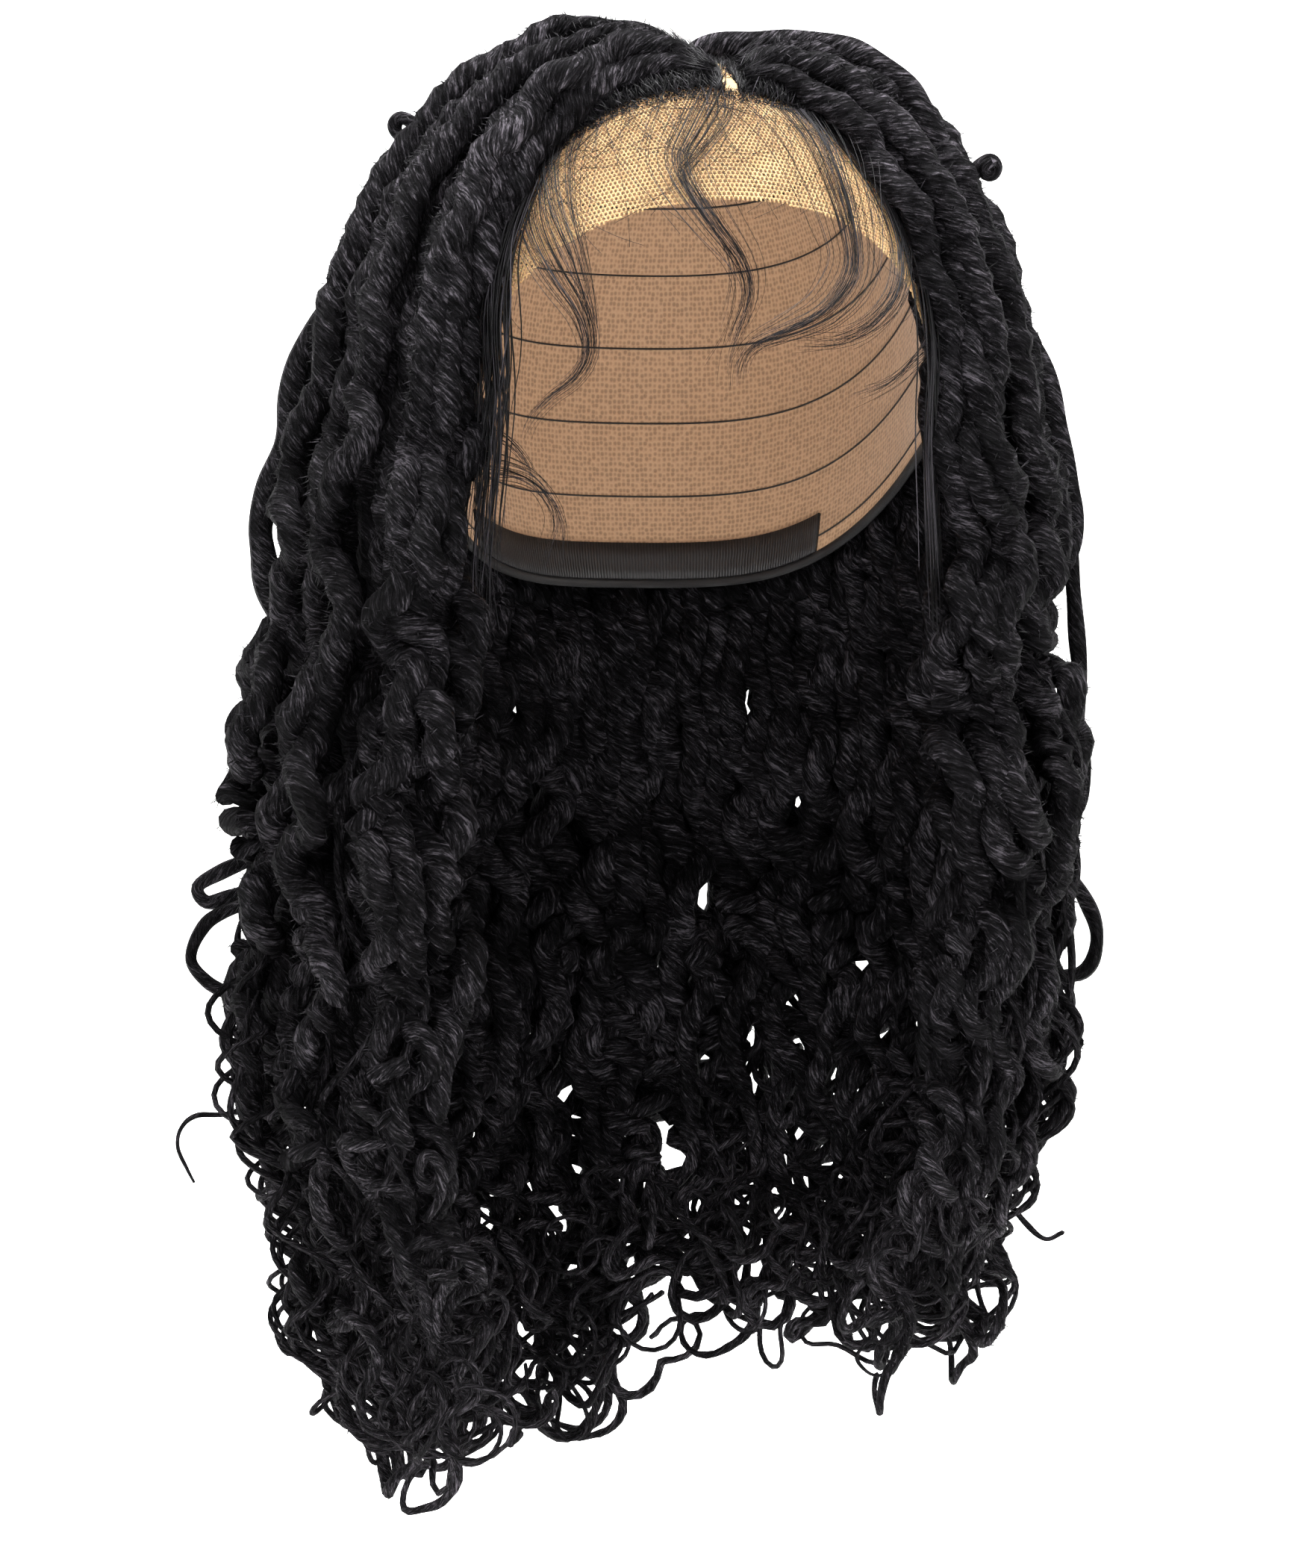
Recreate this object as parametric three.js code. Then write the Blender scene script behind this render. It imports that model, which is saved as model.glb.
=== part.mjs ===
// A worn wig of long wrapped locs: a cap with a lace front, a centre parting, and three
// layers of locs that leave the cap, fall past its widest level and end in curled tips.
// Millimetres, +Z up, the face looks along -Y, +X is the wearer's left.
// The origin is the inside of the crown, where the wearer's head bears.

import * as THREE from "three";

// Driving dimensions

// The head form that the cap is shaped on, from the crown down to its widest level.
const HEAD_HALF_WIDTH = 76;
const HEAD_HALF_DEPTH = 96;
const HEAD_CROWN_HEIGHT = 100;

const CAP_WALL = 1.2;
const LACE_WALL = 1.0;
const CLEARANCE = 0.3;
const SEAM_GAP = 0.6; // between the cap's front edge and the lace sewn to it

// Edges of the cap and the lace, in degrees: azimuth from the face, drop from the crown.
const HAIRLINE = { centreDrop: 28, earDrop: 100, earAzimuth: 78, roundness: 2.4 };
const NAPE_DROP = 125;
const LACE_EDGE = { centreDrop: 61, earDrop: 107, earAzimuth: 72, roundness: 2.2 };

// The dense band of knotted roots along the hairline, and the bare strip of the parting.
const ROOT_BAND = { above: 4, below: 3, height: 1.0 };
const PARTING = { offset: 5, width: 6, length: 94, thickness: 1.0 };

// Locs. Azimuths say where a layer's first loc falls, beside the face, and its last one.
const LOC_RADIUS = 5.6;
const LOC_ROOT_RADIUS = 2.6;
const LOC_TIP_RADIUS = 2.2;
const LOCS_PER_SIDE = 9; // in each layer
const LAYERS = {
  inner: { level: 0, firstFall: 90, lastFall: 174, domeSteps: 3, root: innerRoot },
  middle: { level: 1, firstFall: 78, lastFall: 174, domeSteps: 4, root: middleRoot },
  outer: { level: 2, firstFall: 64, lastFall: 172, domeSteps: 5, root: outerRoot },
};
// Where a layer is rooted and which way it is pulled, for its first loc and its last. The
// outer layer is rooted beside the parting, and the inner one above the cap's edge.
const ROOTS = {
  inner: { aboveEdge: 15, pullBelowRoot: 7, landingBelowRoot: 14 },
  middle: {
    root: { first: { azimuth: 72, drop: 40 }, last: { azimuth: 174, drop: 48 } },
    pull: { first: { azimuth: 77, drop: 66 }, last: { azimuth: 174, drop: 66 } },
  },
  outer: { pull: { first: { azimuth: 70, drop: 36 }, last: { azimuth: 142, drop: 42 } } },
};
const WIDEST_DROP = 90;
const LAYER_LIFT = 2.5; // of the innermost locs, over the roots below them
const LAYER_GAP = 2.8;
const FRONT_LEVEL = 0.4; // the locs beside the face have no full layer below them
const DOME_RISE = 0.68; // power of the rise from the cap to a layer's full offset
const DOME_CROWDING = 1.5; // power that brings the rings on the dome closer to the root
const FULL_BY = 0.25; // share of its way over the dome that a loc takes to reach its radius
const THINS_FROM = 0.45; // share of its hanging length at which a loc starts to thin
const CELL_GAP = 0.6; // between the strips of space that neighbours wave in
const CURL_SHARE = 0.45; // the end curl's radius in half a strip
const HANG_LENGTH = { left: 322, right: 352 }; // from the widest level to the curled tip
const LENGTH_SPREAD = 46; // how much shorter the shortest loc of a layer is
const BEND_STEP = 29; // between the levels where hanging locs bend, half a wave
const CRINKLE = { reach: 4, alongStep: 1.9, aroundRadian: 4 }; // the waves out from the head
const FLARE = { left: 12, right: 22, inner: 0.35, drop: 300 }; // widest at half of this drop
const BACK_SWING = { left: 2, right: 5 }; // degrees that the first locs swing back by their tips

// The loose, straight lock in front of each ear.
const TEMPLE_LOCK = { azimuth: 61, rootDrop: 66, length: 118, width: 9, thickness: 3.6, bow: 4 };
const TEMPLE_TAPER = { root: 0.25, tip: 0.93 }; // shares of half a sine wave

const SIDES = { left: 1, right: -1 };
const LOC_SIDES = 5;
const RIM_STEPS = 10; // stations of a half hairline
const NAPE_STEPS = 12; // stations from ear to nape
const CAP_RINGS = { outer: 14, inner: 7 }; // the locs are seated on the outer side

const radians = THREE.MathUtils.degToRad;
const mix = THREE.MathUtils.lerp;
const smooth = (x, low, high) => THREE.MathUtils.smoothstep(x, low, high);

// The head form

// A unit direction from the head's centre: azimuth 0 is the face, drop 0 is the crown.
function direction(azimuth, drop) {
  const a = radians(azimuth);
  const t = radians(drop);
  return new THREE.Vector3(Math.sin(t) * Math.sin(a), -Math.sin(t) * Math.cos(a), Math.cos(t));
}

// The point that lies offset outside the head form along a direction. Below the widest
// level the form tucks in only a little, as a head does above its nape.
function shellPoint(way, offset) {
  const across = Math.hypot(way.x, way.y);
  const tuck = way.z < 0 ? Math.sqrt(across) / across : 1;
  return new THREE.Vector3(
    (HEAD_HALF_WIDTH + offset) * way.x * tuck,
    (HEAD_HALF_DEPTH + offset) * way.y * tuck,
    (HEAD_CROWN_HEIGHT + offset) * way.z - HEAD_CROWN_HEIGHT,
  );
}

// A rounded edge from the middle of the forehead (turn 0) to the ear (turn 90 degrees).
function roundedEdge(edge, turn) {
  const power = 2 / edge.roundness;
  const side = Math.sign(turn);
  const t = radians(Math.abs(turn));
  return {
    azimuth: side * edge.earAzimuth * Math.pow(Math.sin(t), power),
    drop: mix(edge.earDrop, edge.centreDrop, Math.pow(Math.abs(Math.cos(t)), power)),
  };
}

// Stations along the front edge, from the right ear over the forehead to the left ear.
function frontStations() {
  const count = 2 * RIM_STEPS + 1;
  return Array.from({ length: count }, (_, k) => (90 * (k - RIM_STEPS)) / RIM_STEPS);
}

// The cap's edge from behind the left ear round the nape to behind the right ear.
function napeEdge() {
  const edge = [];
  const span = 360 - 2 * HAIRLINE.earAzimuth;
  const steps = 2 * NAPE_STEPS;
  for (let k = 1; k < steps; k += 1) {
    const share = k / steps;
    edge.push({
      azimuth: HAIRLINE.earAzimuth + span * share,
      drop: mix(HAIRLINE.earDrop, NAPE_DROP, smooth(Math.sin(Math.PI * share), 0, 1)),
    });
  }
  return edge;
}

// The drop of the cap's edge at an azimuth from 0 to 180 degrees.
function edgeDrop(azimuth) {
  if (azimuth >= HAIRLINE.earAzimuth) {
    const share = (azimuth - HAIRLINE.earAzimuth) / (360 - 2 * HAIRLINE.earAzimuth);
    return mix(HAIRLINE.earDrop, NAPE_DROP, smooth(Math.sin(Math.PI * share), 0, 1));
  }
  const power = HAIRLINE.roundness;
  const cosine = Math.pow(1 - Math.pow(azimuth / HAIRLINE.earAzimuth, power), 1 / power);
  return mix(HAIRLINE.earDrop, HAIRLINE.centreDrop, cosine);
}

// Degrees of drop that a length on the head form takes.
const dropOf = (length) => THREE.MathUtils.radToDeg(length / HEAD_CROWN_HEIGHT);

// Closed meshes

// A mesh geometry from points and triangles.
function geometryOf(points, faces) {
  const geometry = new THREE.BufferGeometry().setFromPoints(points);
  geometry.setIndex(faces);
  return geometry;
}

// Two triangles for a quad, in the order that faces out.
const quad = (a, b, c, d) => [a, b, c, a, c, d];

// A closed wall from two equal grids of points, outer and inner, rows by columns.
function wallFromGrids(outer, inner) {
  const rows = outer.length;
  const columns = outer[0].length;
  const points = [...outer.flat(), ...inner.flat()];
  const out = (r, c) => r * columns + c;
  const into = (r, c) => rows * columns + r * columns + c;
  const faces = [];
  for (let r = 0; r + 1 < rows; r += 1) {
    for (let c = 0; c + 1 < columns; c += 1) {
      faces.push(...quad(out(r, c), out(r + 1, c), out(r + 1, c + 1), out(r, c + 1)));
      faces.push(...quad(into(r, c), into(r, c + 1), into(r + 1, c + 1), into(r + 1, c)));
    }
  }
  for (let c = 0; c + 1 < columns; c += 1) {
    faces.push(...quad(out(0, c), out(0, c + 1), into(0, c + 1), into(0, c)));
    const last = rows - 1;
    faces.push(...quad(out(last, c), into(last, c), into(last, c + 1), out(last, c + 1)));
  }
  for (let r = 0; r + 1 < rows; r += 1) {
    const last = columns - 1;
    faces.push(...quad(out(r, 0), into(r, 0), into(r + 1, 0), out(r + 1, 0)));
    faces.push(...quad(out(r, last), out(r + 1, last), into(r + 1, last), into(r, last)));
  }
  return geometryOf(points, faces);
}

// A closed tube through rings, with flat ends. Each ring has a centre and two radii. A ring
// that also has a lean stands in the plane of its lean, and its first radius points along it.
function sweep(stations, sides) {
  const points = [];
  const faces = [];
  const tangents = stations.map((station, k) => {
    const before = stations[Math.max(k - 1, 0)].centre;
    const after = stations[Math.min(k + 1, stations.length - 1)].centre;
    return after.clone().sub(before).normalize();
  });
  let lean = stations[0].lean.clone();
  stations.forEach((station, k) => {
    if (station.lean) {
      lean = station.lean.clone().normalize();
      tangents[k].addScaledVector(lean, -lean.dot(tangents[k])).normalize();
    } else {
      lean.addScaledVector(tangents[k], -lean.dot(tangents[k])).normalize();
    }
    const other = tangents[k].clone().cross(lean);
    for (let side = 0; side < sides; side += 1) {
      const turn = (2 * Math.PI * (side + 0.5)) / sides;
      points.push(
        station.centre
          .clone()
          .addScaledVector(lean, station.radii[0] * Math.cos(turn))
          .addScaledVector(other, station.radii[1] * Math.sin(turn)),
      );
    }
  });
  const at = (k, side) => k * sides + (side % sides);
  for (let k = 0; k + 1 < stations.length; k += 1) {
    for (let side = 0; side < sides; side += 1) {
      faces.push(...quad(at(k, side), at(k, side + 1), at(k + 1, side + 1), at(k + 1, side)));
    }
  }
  const last = stations.length - 1;
  for (let side = 1; side + 1 < sides; side += 1) {
    faces.push(at(0, 0), at(0, side + 1), at(0, side));
    faces.push(at(last, 0), at(last, side), at(last, side + 1));
  }
  return geometryOf(points, faces);
}

// The cap and what is sewn to it

// Rings of points from the crown to the rim, on a shell outside the head form.
function domeRings(rim, rings, offset) {
  const made = [];
  for (let ring = 1; ring <= rings; ring += 1) {
    for (const { azimuth, drop } of rim) {
      made.push(shellPoint(direction(azimuth, (drop * ring) / rings), offset));
    }
  }
  return made;
}

// The faces of a dome whose crown is one point of a list and whose rings follow it.
function domeFaces(first, around, rings) {
  const at = (ring, k) => first + 1 + (ring - 1) * around + (k % around);
  const faces = [];
  for (let k = 0; k < around; k += 1) {
    faces.push(first, at(1, k), at(1, k + 1));
    for (let ring = 1; ring < rings; ring += 1) {
      faces.push(...quad(at(ring, k), at(ring + 1, k), at(ring + 1, k + 1), at(ring, k + 1)));
    }
  }
  return faces;
}

// The dome, open at the face and below, with its wall between two shells.
function capGeometry() {
  const rim = [...frontStations().map((turn) => roundedEdge(HAIRLINE, turn)), ...napeEdge()];
  const around = rim.length;
  const crown = direction(0, 0);
  const outer = [shellPoint(crown, CAP_WALL), ...domeRings(rim, CAP_RINGS.outer, CAP_WALL)];
  const inner = [shellPoint(crown, 0), ...domeRings(rim, CAP_RINGS.inner, 0)];
  const faces = domeFaces(0, around, CAP_RINGS.outer);
  faces.push(...domeFaces(outer.length, around, CAP_RINGS.inner).reverse());
  const outerRim = outer.length - around;
  const innerRim = outer.length + inner.length - around;
  for (let k = 0; k < around; k += 1) {
    const next = (k + 1) % around;
    faces.push(...quad(outerRim + k, innerRim + k, innerRim + next, outerRim + next));
  }
  return geometryOf([...outer, ...inner], faces);
}

// A wall on the front of the head between two edges, at an outer and an inner offset. Each edge
// gives azimuth and drop at a turn of the hairline.
function frontBand(upperEdge, lowerEdge, offsets, rows, turns) {
  const grid = (offset) => {
    const made = [];
    for (let row = 0; row <= rows; row += 1) {
      made.push(
        turns.map((turn) => {
          const upper = upperEdge(turn);
          const lower = lowerEdge(turn);
          const share = row / rows;
          const azimuth = mix(upper.azimuth, lower.azimuth, share);
          return shellPoint(direction(azimuth, mix(upper.drop, lower.drop, share)), offset);
        }),
      );
    }
    return made;
  };
  return wallFromGrids(grid(offsets.outer), grid(offsets.inner));
}

// The hairline moved down its own slope by some degrees of drop.
const besideHairline = (degrees) => (turn) => {
  const edge = roundedEdge(HAIRLINE, turn);
  const slant = Math.abs(Math.sin(radians(turn)));
  return {
    azimuth: edge.azimuth * (1 - (degrees * slant) / HAIRLINE.earAzimuth),
    drop: edge.drop + degrees * (1 - slant * slant),
  };
};

// The sheer lace from the hairline down over the forehead and in front of the ears.
function laceGeometry() {
  return frontBand(
    besideHairline(dropOf(SEAM_GAP)),
    (turn) => roundedEdge(LACE_EDGE, turn),
    { outer: LACE_WALL, inner: 0 },
    2,
    frontStations(),
  );
}

// The band of tied roots, which lies on the cap's front edge and on the lace.
function rootBandGeometry() {
  const base = Math.max(CAP_WALL, LACE_WALL) + 2 * CLEARANCE;
  return frontBand(
    besideHairline(-ROOT_BAND.above),
    besideHairline(ROOT_BAND.below),
    { outer: base + ROOT_BAND.height, inner: base },
    2,
    frontStations().slice(1, -1),
  );
}

// A point of the parting line, by its distance behind the root band.
function partingWay(distance, across) {
  const front = HAIRLINE.centreDrop - ROOT_BAND.above - dropOf(CLEARANCE * 4);
  const y = distance - HEAD_HALF_DEPTH * Math.sin(radians(front));
  const x = (PARTING.offset + across) / HEAD_HALF_WIDTH;
  const depth = y / HEAD_HALF_DEPTH;
  return new THREE.Vector3(x, depth, Math.sqrt(1 - x * x - depth * depth));
}

// The bare strip of lace that shows along the parting.
function partingGeometry() {
  const steps = 9;
  const base = CAP_WALL + CLEARANCE;
  const grid = (offset) =>
    [-1, 1].map((edge) => {
      const line = [];
      for (let k = 0; k <= steps; k += 1) {
        const way = partingWay((PARTING.length * k) / steps, (edge * PARTING.width) / 2);
        line.push(shellPoint(way, offset));
      }
      return line;
    });
  return wallFromGrids(grid(base + PARTING.thickness), grid(base));
}

// Locs

// How far the middle of a hanging loc lies outside the head form, by its level.
const levelOffset = (level) =>
  CAP_WALL + CLEARANCE + LAYER_LIFT + LOC_RADIUS + level * (2 * LOC_RADIUS + LAYER_GAP);

// A direction between those of a layer's first and last loc.
const between = ({ first, last }, share) =>
  direction(mix(first.azimuth, last.azimuth, share), mix(first.drop, last.drop, share));

// Inner locs are rooted just above the cap's edge, from the ear to the nape.
function innerRoot(share, fall) {
  const drop = edgeDrop(fall) - ROOTS.inner.aboveEdge;
  return {
    way: direction(fall, drop),
    pull: direction(fall, drop + ROOTS.inner.pullBelowRoot),
    landing: drop + ROOTS.inner.landingBelowRoot,
  };
}

// Middle locs are rooted in a ring halfway up the dome.
function middleRoot(share) {
  return {
    way: between(ROOTS.middle.root, share),
    pull: between(ROOTS.middle.pull, share),
    landing: WIDEST_DROP,
  };
}

// Outer locs are rooted along the parting, leave it sideways and fan out.
function outerRoot(share, fall, side) {
  const spacing = (PARTING.length - 2 * LOC_ROOT_RADIUS) * share;
  const beside = PARTING.width / 2 + CLEARANCE * 2 + LOC_ROOT_RADIUS;
  const way = partingWay(LOC_ROOT_RADIUS + spacing, side * beside);
  way.x *= side;
  return { way, pull: between(ROOTS.outer.pull, share), landing: WIDEST_DROP };
}

// A repeatable number from 0 to 1 for a loc, so that no two hang alike.
function chance(seed) {
  const x = Math.sin(seed * 12.9898 + 4.1414) * 43758.5453;
  return x - Math.floor(x);
}

// All that fixes one loc: its root, its strip of space and its length.
function locPlan(layerName, sideName, index) {
  const layer = LAYERS[layerName];
  const share = index / (LOCS_PER_SIDE - 1);
  const fall = mix(layer.firstFall, layer.lastFall, share);
  const level = Math.min(layer.level, FRONT_LEVEL + index);
  const offset = levelOffset(level);
  const pitch = radians(layer.lastFall - layer.firstFall) / (LOCS_PER_SIDE - 1);
  const seed = 1 + index + 20 * layer.level + (sideName === "left" ? 100 : 0);
  const root = layer.root(share, fall, SIDES[sideName]);
  const { firstFall, lastFall } = LAYERS.outer;
  const backShare = Math.max(0, (lastFall - fall) / (lastFall - firstFall));
  return {
    side: SIDES[sideName],
    fall,
    offset,
    root,
    domeSteps: layer.domeSteps,
    halfCell: (pitch * (HEAD_HALF_WIDTH + offset) - CELL_GAP) / 2,
    start: shellPoint(direction(fall, root.landing), offset).z, // where it starts to hang
    tip: -HEAD_CROWN_HEIGHT - HANG_LENGTH[sideName] + LENGTH_SPREAD * chance(seed),
    lead: chance(seed + 7) < 0.5 ? -1 : 1,
    flare: FLARE[sideName] * mix(FLARE.inner, 1, level / LAYERS.outer.level),
    swing: BACK_SWING[sideName] * backShare ** 2,
  };
}

// The point of a loc on the dome: share 0 is the root, 1 is where it starts to hang.
function domePoint(plan, share) {
  const { way, pull, landing } = plan.root;
  const end = direction(plan.fall, landing);
  const heading = way
    .clone()
    .multiplyScalar((1 - share) ** 2)
    .addScaledVector(pull, 2 * share * (1 - share))
    .addScaledVector(end, share ** 2)
    .normalize();
  const underside = mix(CAP_WALL + CLEARANCE, plan.offset - LOC_RADIUS, share ** DOME_RISE);
  const point = shellPoint(heading, underside + domeRadius(share));
  point.x *= plan.side;
  return point;
}

// A loc is thin at its root and soon full.
const domeRadius = (share) => mix(LOC_ROOT_RADIUS, LOC_RADIUS, smooth(share, 0, FULL_BY));

// A hanging loc is full as far as its middle and thins to its tip.
const locRadius = (share) => mix(LOC_RADIUS, LOC_TIP_RADIUS, smooth(share, THINS_FROM, 1));

// How far the hair stands out at a level, beyond its place at the widest level of the head.
// All layers crinkle in and out together, so that they keep their distance.
function standOut(plan, z, azimuth) {
  const drop = plan.start - z;
  const steps = -(HEAD_CROWN_HEIGHT + z) / BEND_STEP;
  const crinkle = Math.sin(CRINKLE.alongStep * steps + CRINKLE.aroundRadian * radians(azimuth));
  const flare = plan.flare * Math.sin((Math.PI * drop) / FLARE.drop);
  return flare + CRINKLE.reach * crinkle * smooth(steps, 0, 1);
}

// The point of a hanging loc at a level, moved sideways by a length.
function hangPoint(plan, z, sideways) {
  const drop = plan.start - z;
  const landed = Math.sqrt(Math.sin(radians(plan.root.landing)));
  const tuck = mix(landed, 1, smooth(drop, 0, FLARE.drop / 3));
  const azimuth = plan.fall + plan.swing * smooth(drop, 0, FLARE.drop);
  const out = standOut(plan, z, azimuth);
  const wide = (HEAD_HALF_WIDTH + plan.offset) * tuck + out;
  const deep = (HEAD_HALF_DEPTH + plan.offset) * tuck + out;
  const a = radians(azimuth) + sideways / wide;
  return new THREE.Vector3(plan.side * wide * Math.sin(a), -deep * Math.cos(a), z);
}

// The centres and radii of a loc's rings, from its root to its curled tip.
function locStations(plan) {
  const stations = [];
  for (let k = 0; k <= plan.domeSteps; k += 1) {
    const share = (k / plan.domeSteps) ** DOME_CROWDING;
    const radius = domeRadius(share);
    stations.push({ centre: domePoint(plan, share), radii: [radius, radius] });
  }
  const hang = plan.start - plan.tip;
  for (let bend = 0; bend * BEND_STEP < HANG_LENGTH.right; bend += 1) {
    const z = -HEAD_CROWN_HEIGHT - BEND_STEP * (bend + 0.5);
    const nearestEnd = Math.min(plan.start - z, z - plan.tip);
    if (nearestEnd < BEND_STEP / 3) continue;
    const radius = locRadius((plan.start - z) / hang);
    const wave = (plan.halfCell - radius) * smooth(plan.start - z, 0, BEND_STEP) * plan.lead;
    const centre = hangPoint(plan, z, bend % 2 ? -wave : wave);
    stations.push({ centre, radii: [radius, radius] });
  }
  const curl = plan.halfCell * CURL_SHARE;
  for (const turn of [0, 90, 180]) {
    const sideways = -plan.lead * curl * Math.cos(radians(turn));
    const centre = hangPoint(plan, plan.tip - curl * Math.sin(radians(turn)), sideways);
    stations.push({ centre, radii: [LOC_TIP_RADIUS, LOC_TIP_RADIUS] });
  }
  const { way } = plan.root;
  const outward = [way.x / HEAD_HALF_WIDTH, way.y / HEAD_HALF_DEPTH, way.z / HEAD_CROWN_HEIGHT];
  stations[0].lean = new THREE.Vector3(plan.side * outward[0], outward[1], outward[2]);
  return stations;
}

// The loose lock in front of an ear: flat and tapered, on the lace to the widest level and
// then straight down with a slight bow.
function templeLockStations(sideName) {
  const side = SIDES[sideName];
  const steps = 8;
  const offset = LACE_WALL + 2 * CLEARANCE + TEMPLE_LOCK.thickness / 2;
  const dropSpan = WIDEST_DROP - TEMPLE_LOCK.rootDrop;
  const domeLength = radians(dropSpan) * HEAD_CROWN_HEIGHT;
  const stations = [];
  for (let k = 0; k <= steps; k += 1) {
    const share = k / steps;
    const along = TEMPLE_LOCK.length * share;
    const drop = Math.min(WIDEST_DROP, TEMPLE_LOCK.rootDrop + (dropSpan * along) / domeLength);
    const centre = shellPoint(direction(TEMPLE_LOCK.azimuth, drop), offset);
    const hung = Math.max(0, along - domeLength);
    centre.z -= hung;
    centre.y += TEMPLE_LOCK.bow * Math.sin((Math.PI * hung) / (TEMPLE_LOCK.length - domeLength));
    centre.x *= side;
    const body = Math.sin(Math.PI * mix(TEMPLE_TAPER.root, TEMPLE_TAPER.tip, share));
    const lean = new THREE.Vector3(-side * Math.cos(radians(TEMPLE_LOCK.azimuth)), 0, 0);
    lean.y = -Math.sin(radians(TEMPLE_LOCK.azimuth));
    const radii = [(TEMPLE_LOCK.width / 2) * body, (TEMPLE_LOCK.thickness / 2) * body];
    stations.push({ centre, radii, lean });
  }
  return stations;
}

// Materials

const MATERIALS = {
  capNet: new THREE.MeshStandardMaterial({ color: 0x1b1816, roughness: 0.9 }),
  lace: new THREE.MeshStandardMaterial({ color: 0xa9794f, roughness: 0.8 }),
  loc: new THREE.MeshStandardMaterial({ color: 0x17151a, roughness: 0.72 }),
  looseHair: new THREE.MeshStandardMaterial({ color: 0x141216, roughness: 0.5 }),
};

// The wig

function named(name, geometry, material) {
  geometry.computeVertexNormals();
  const mesh = new THREE.Mesh(geometry, material.clone());
  mesh.name = name;
  return mesh;
}

function build() {
  const wig = new THREE.Group();
  const base = new THREE.Group();
  base.add(named("cap", capGeometry(), MATERIALS.capNet));
  base.add(named("lace_front", laceGeometry(), MATERIALS.lace));
  base.add(named("parting_lace", partingGeometry(), MATERIALS.lace));
  base.add(named("hairline_roots", rootBandGeometry(), MATERIALS.looseHair));
  wig.add(base);
  for (const sideName of Object.keys(SIDES)) {
    const hair = new THREE.Group();
    const lock = sweep(templeLockStations(sideName), LOC_SIDES);
    hair.add(named(`temple_lock_${sideName}`, lock, MATERIALS.looseHair));
    for (const layerName of Object.keys(LAYERS)) {
      for (let index = 0; index < LOCS_PER_SIDE; index += 1) {
        const stations = locStations(locPlan(layerName, sideName, index));
        const name = `loc_${layerName}_${sideName}_${index + 1}`;
        hair.add(named(name, sweep(stations, LOC_SIDES), MATERIALS.loc));
      }
    }
    wig.add(hair);
  }
  return wig;
}

export default build();
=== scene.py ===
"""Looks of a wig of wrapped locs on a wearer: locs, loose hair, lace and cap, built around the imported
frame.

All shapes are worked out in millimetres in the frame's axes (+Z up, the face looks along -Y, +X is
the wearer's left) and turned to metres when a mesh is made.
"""

import logging
import math
from dataclasses import dataclass, field, replace
from enum import Enum

import bpy
import numpy as np
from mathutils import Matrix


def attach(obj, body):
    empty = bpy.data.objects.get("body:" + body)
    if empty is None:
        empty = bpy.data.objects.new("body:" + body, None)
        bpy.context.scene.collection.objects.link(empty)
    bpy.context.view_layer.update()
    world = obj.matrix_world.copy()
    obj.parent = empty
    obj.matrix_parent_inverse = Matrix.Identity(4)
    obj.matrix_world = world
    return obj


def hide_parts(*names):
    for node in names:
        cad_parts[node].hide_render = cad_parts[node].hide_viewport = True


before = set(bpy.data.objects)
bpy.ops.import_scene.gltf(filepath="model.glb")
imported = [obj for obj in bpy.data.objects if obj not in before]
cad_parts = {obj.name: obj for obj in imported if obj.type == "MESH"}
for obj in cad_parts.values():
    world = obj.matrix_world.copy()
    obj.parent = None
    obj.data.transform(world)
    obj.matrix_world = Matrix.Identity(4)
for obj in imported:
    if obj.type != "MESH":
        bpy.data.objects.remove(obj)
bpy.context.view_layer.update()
LOG = logging.getLogger("wig")
Array = np.ndarray
Material = bpy.types.Material
Socket = bpy.types.NodeSocket
METRES = 0.001
FULL_TURN = 6.28
SHIFT = 50  # how far apart, in metres, the patterns of two hairs may start


class Named(Enum):
    """Choices whose names the frame's nodes spell in lower case."""

    @property
    def word(self) -> str:
        """The name as the frame's nodes spell it."""
        return self.name.lower()


class Side(Named):
    """The wearer's sides, with the sign that they have along X."""

    LEFT = 1
    RIGHT = -1


class Layer(Named):
    """The layers that the locs hang in, from the neck outwards."""

    INNER = 0
    MIDDLE = 1
    OUTER = 2


# Small numeric helpers


def unit(vectors: Array) -> Array:
    """Each vector divided by its own length."""
    return vectors / np.maximum(np.linalg.norm(vectors, axis=-1, keepdims=True), 1e-12)


def smooth(x: Array | float, low: float, high: float) -> Array:
    """0 below low, 1 above high, and 3t^2 - 2t^3 of the share t in between."""
    t = np.clip((np.asarray(x, float) - low) / (high - low), 0, 1)
    return t * t * (3 - 2 * t)


def mix(a: float | Array, b: float | Array, share: float | Array) -> Array | float:
    """a at share 0, b at share 1, straight in between."""
    return a + (b - a) * share


def chance(seed: float) -> float:
    """The fraction of a large sine: a repeatable number from 0 to 1, as the frame's source has it."""
    x = math.sin(seed * 12.9898 + 4.1414) * 43758.5453
    return x - math.floor(x)


def column(rng: np.random.Generator, low: float, high: float, count: int) -> Array:
    """A column of draws, even between low and high."""
    return rng.uniform(low, high, (count, 1))


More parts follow.
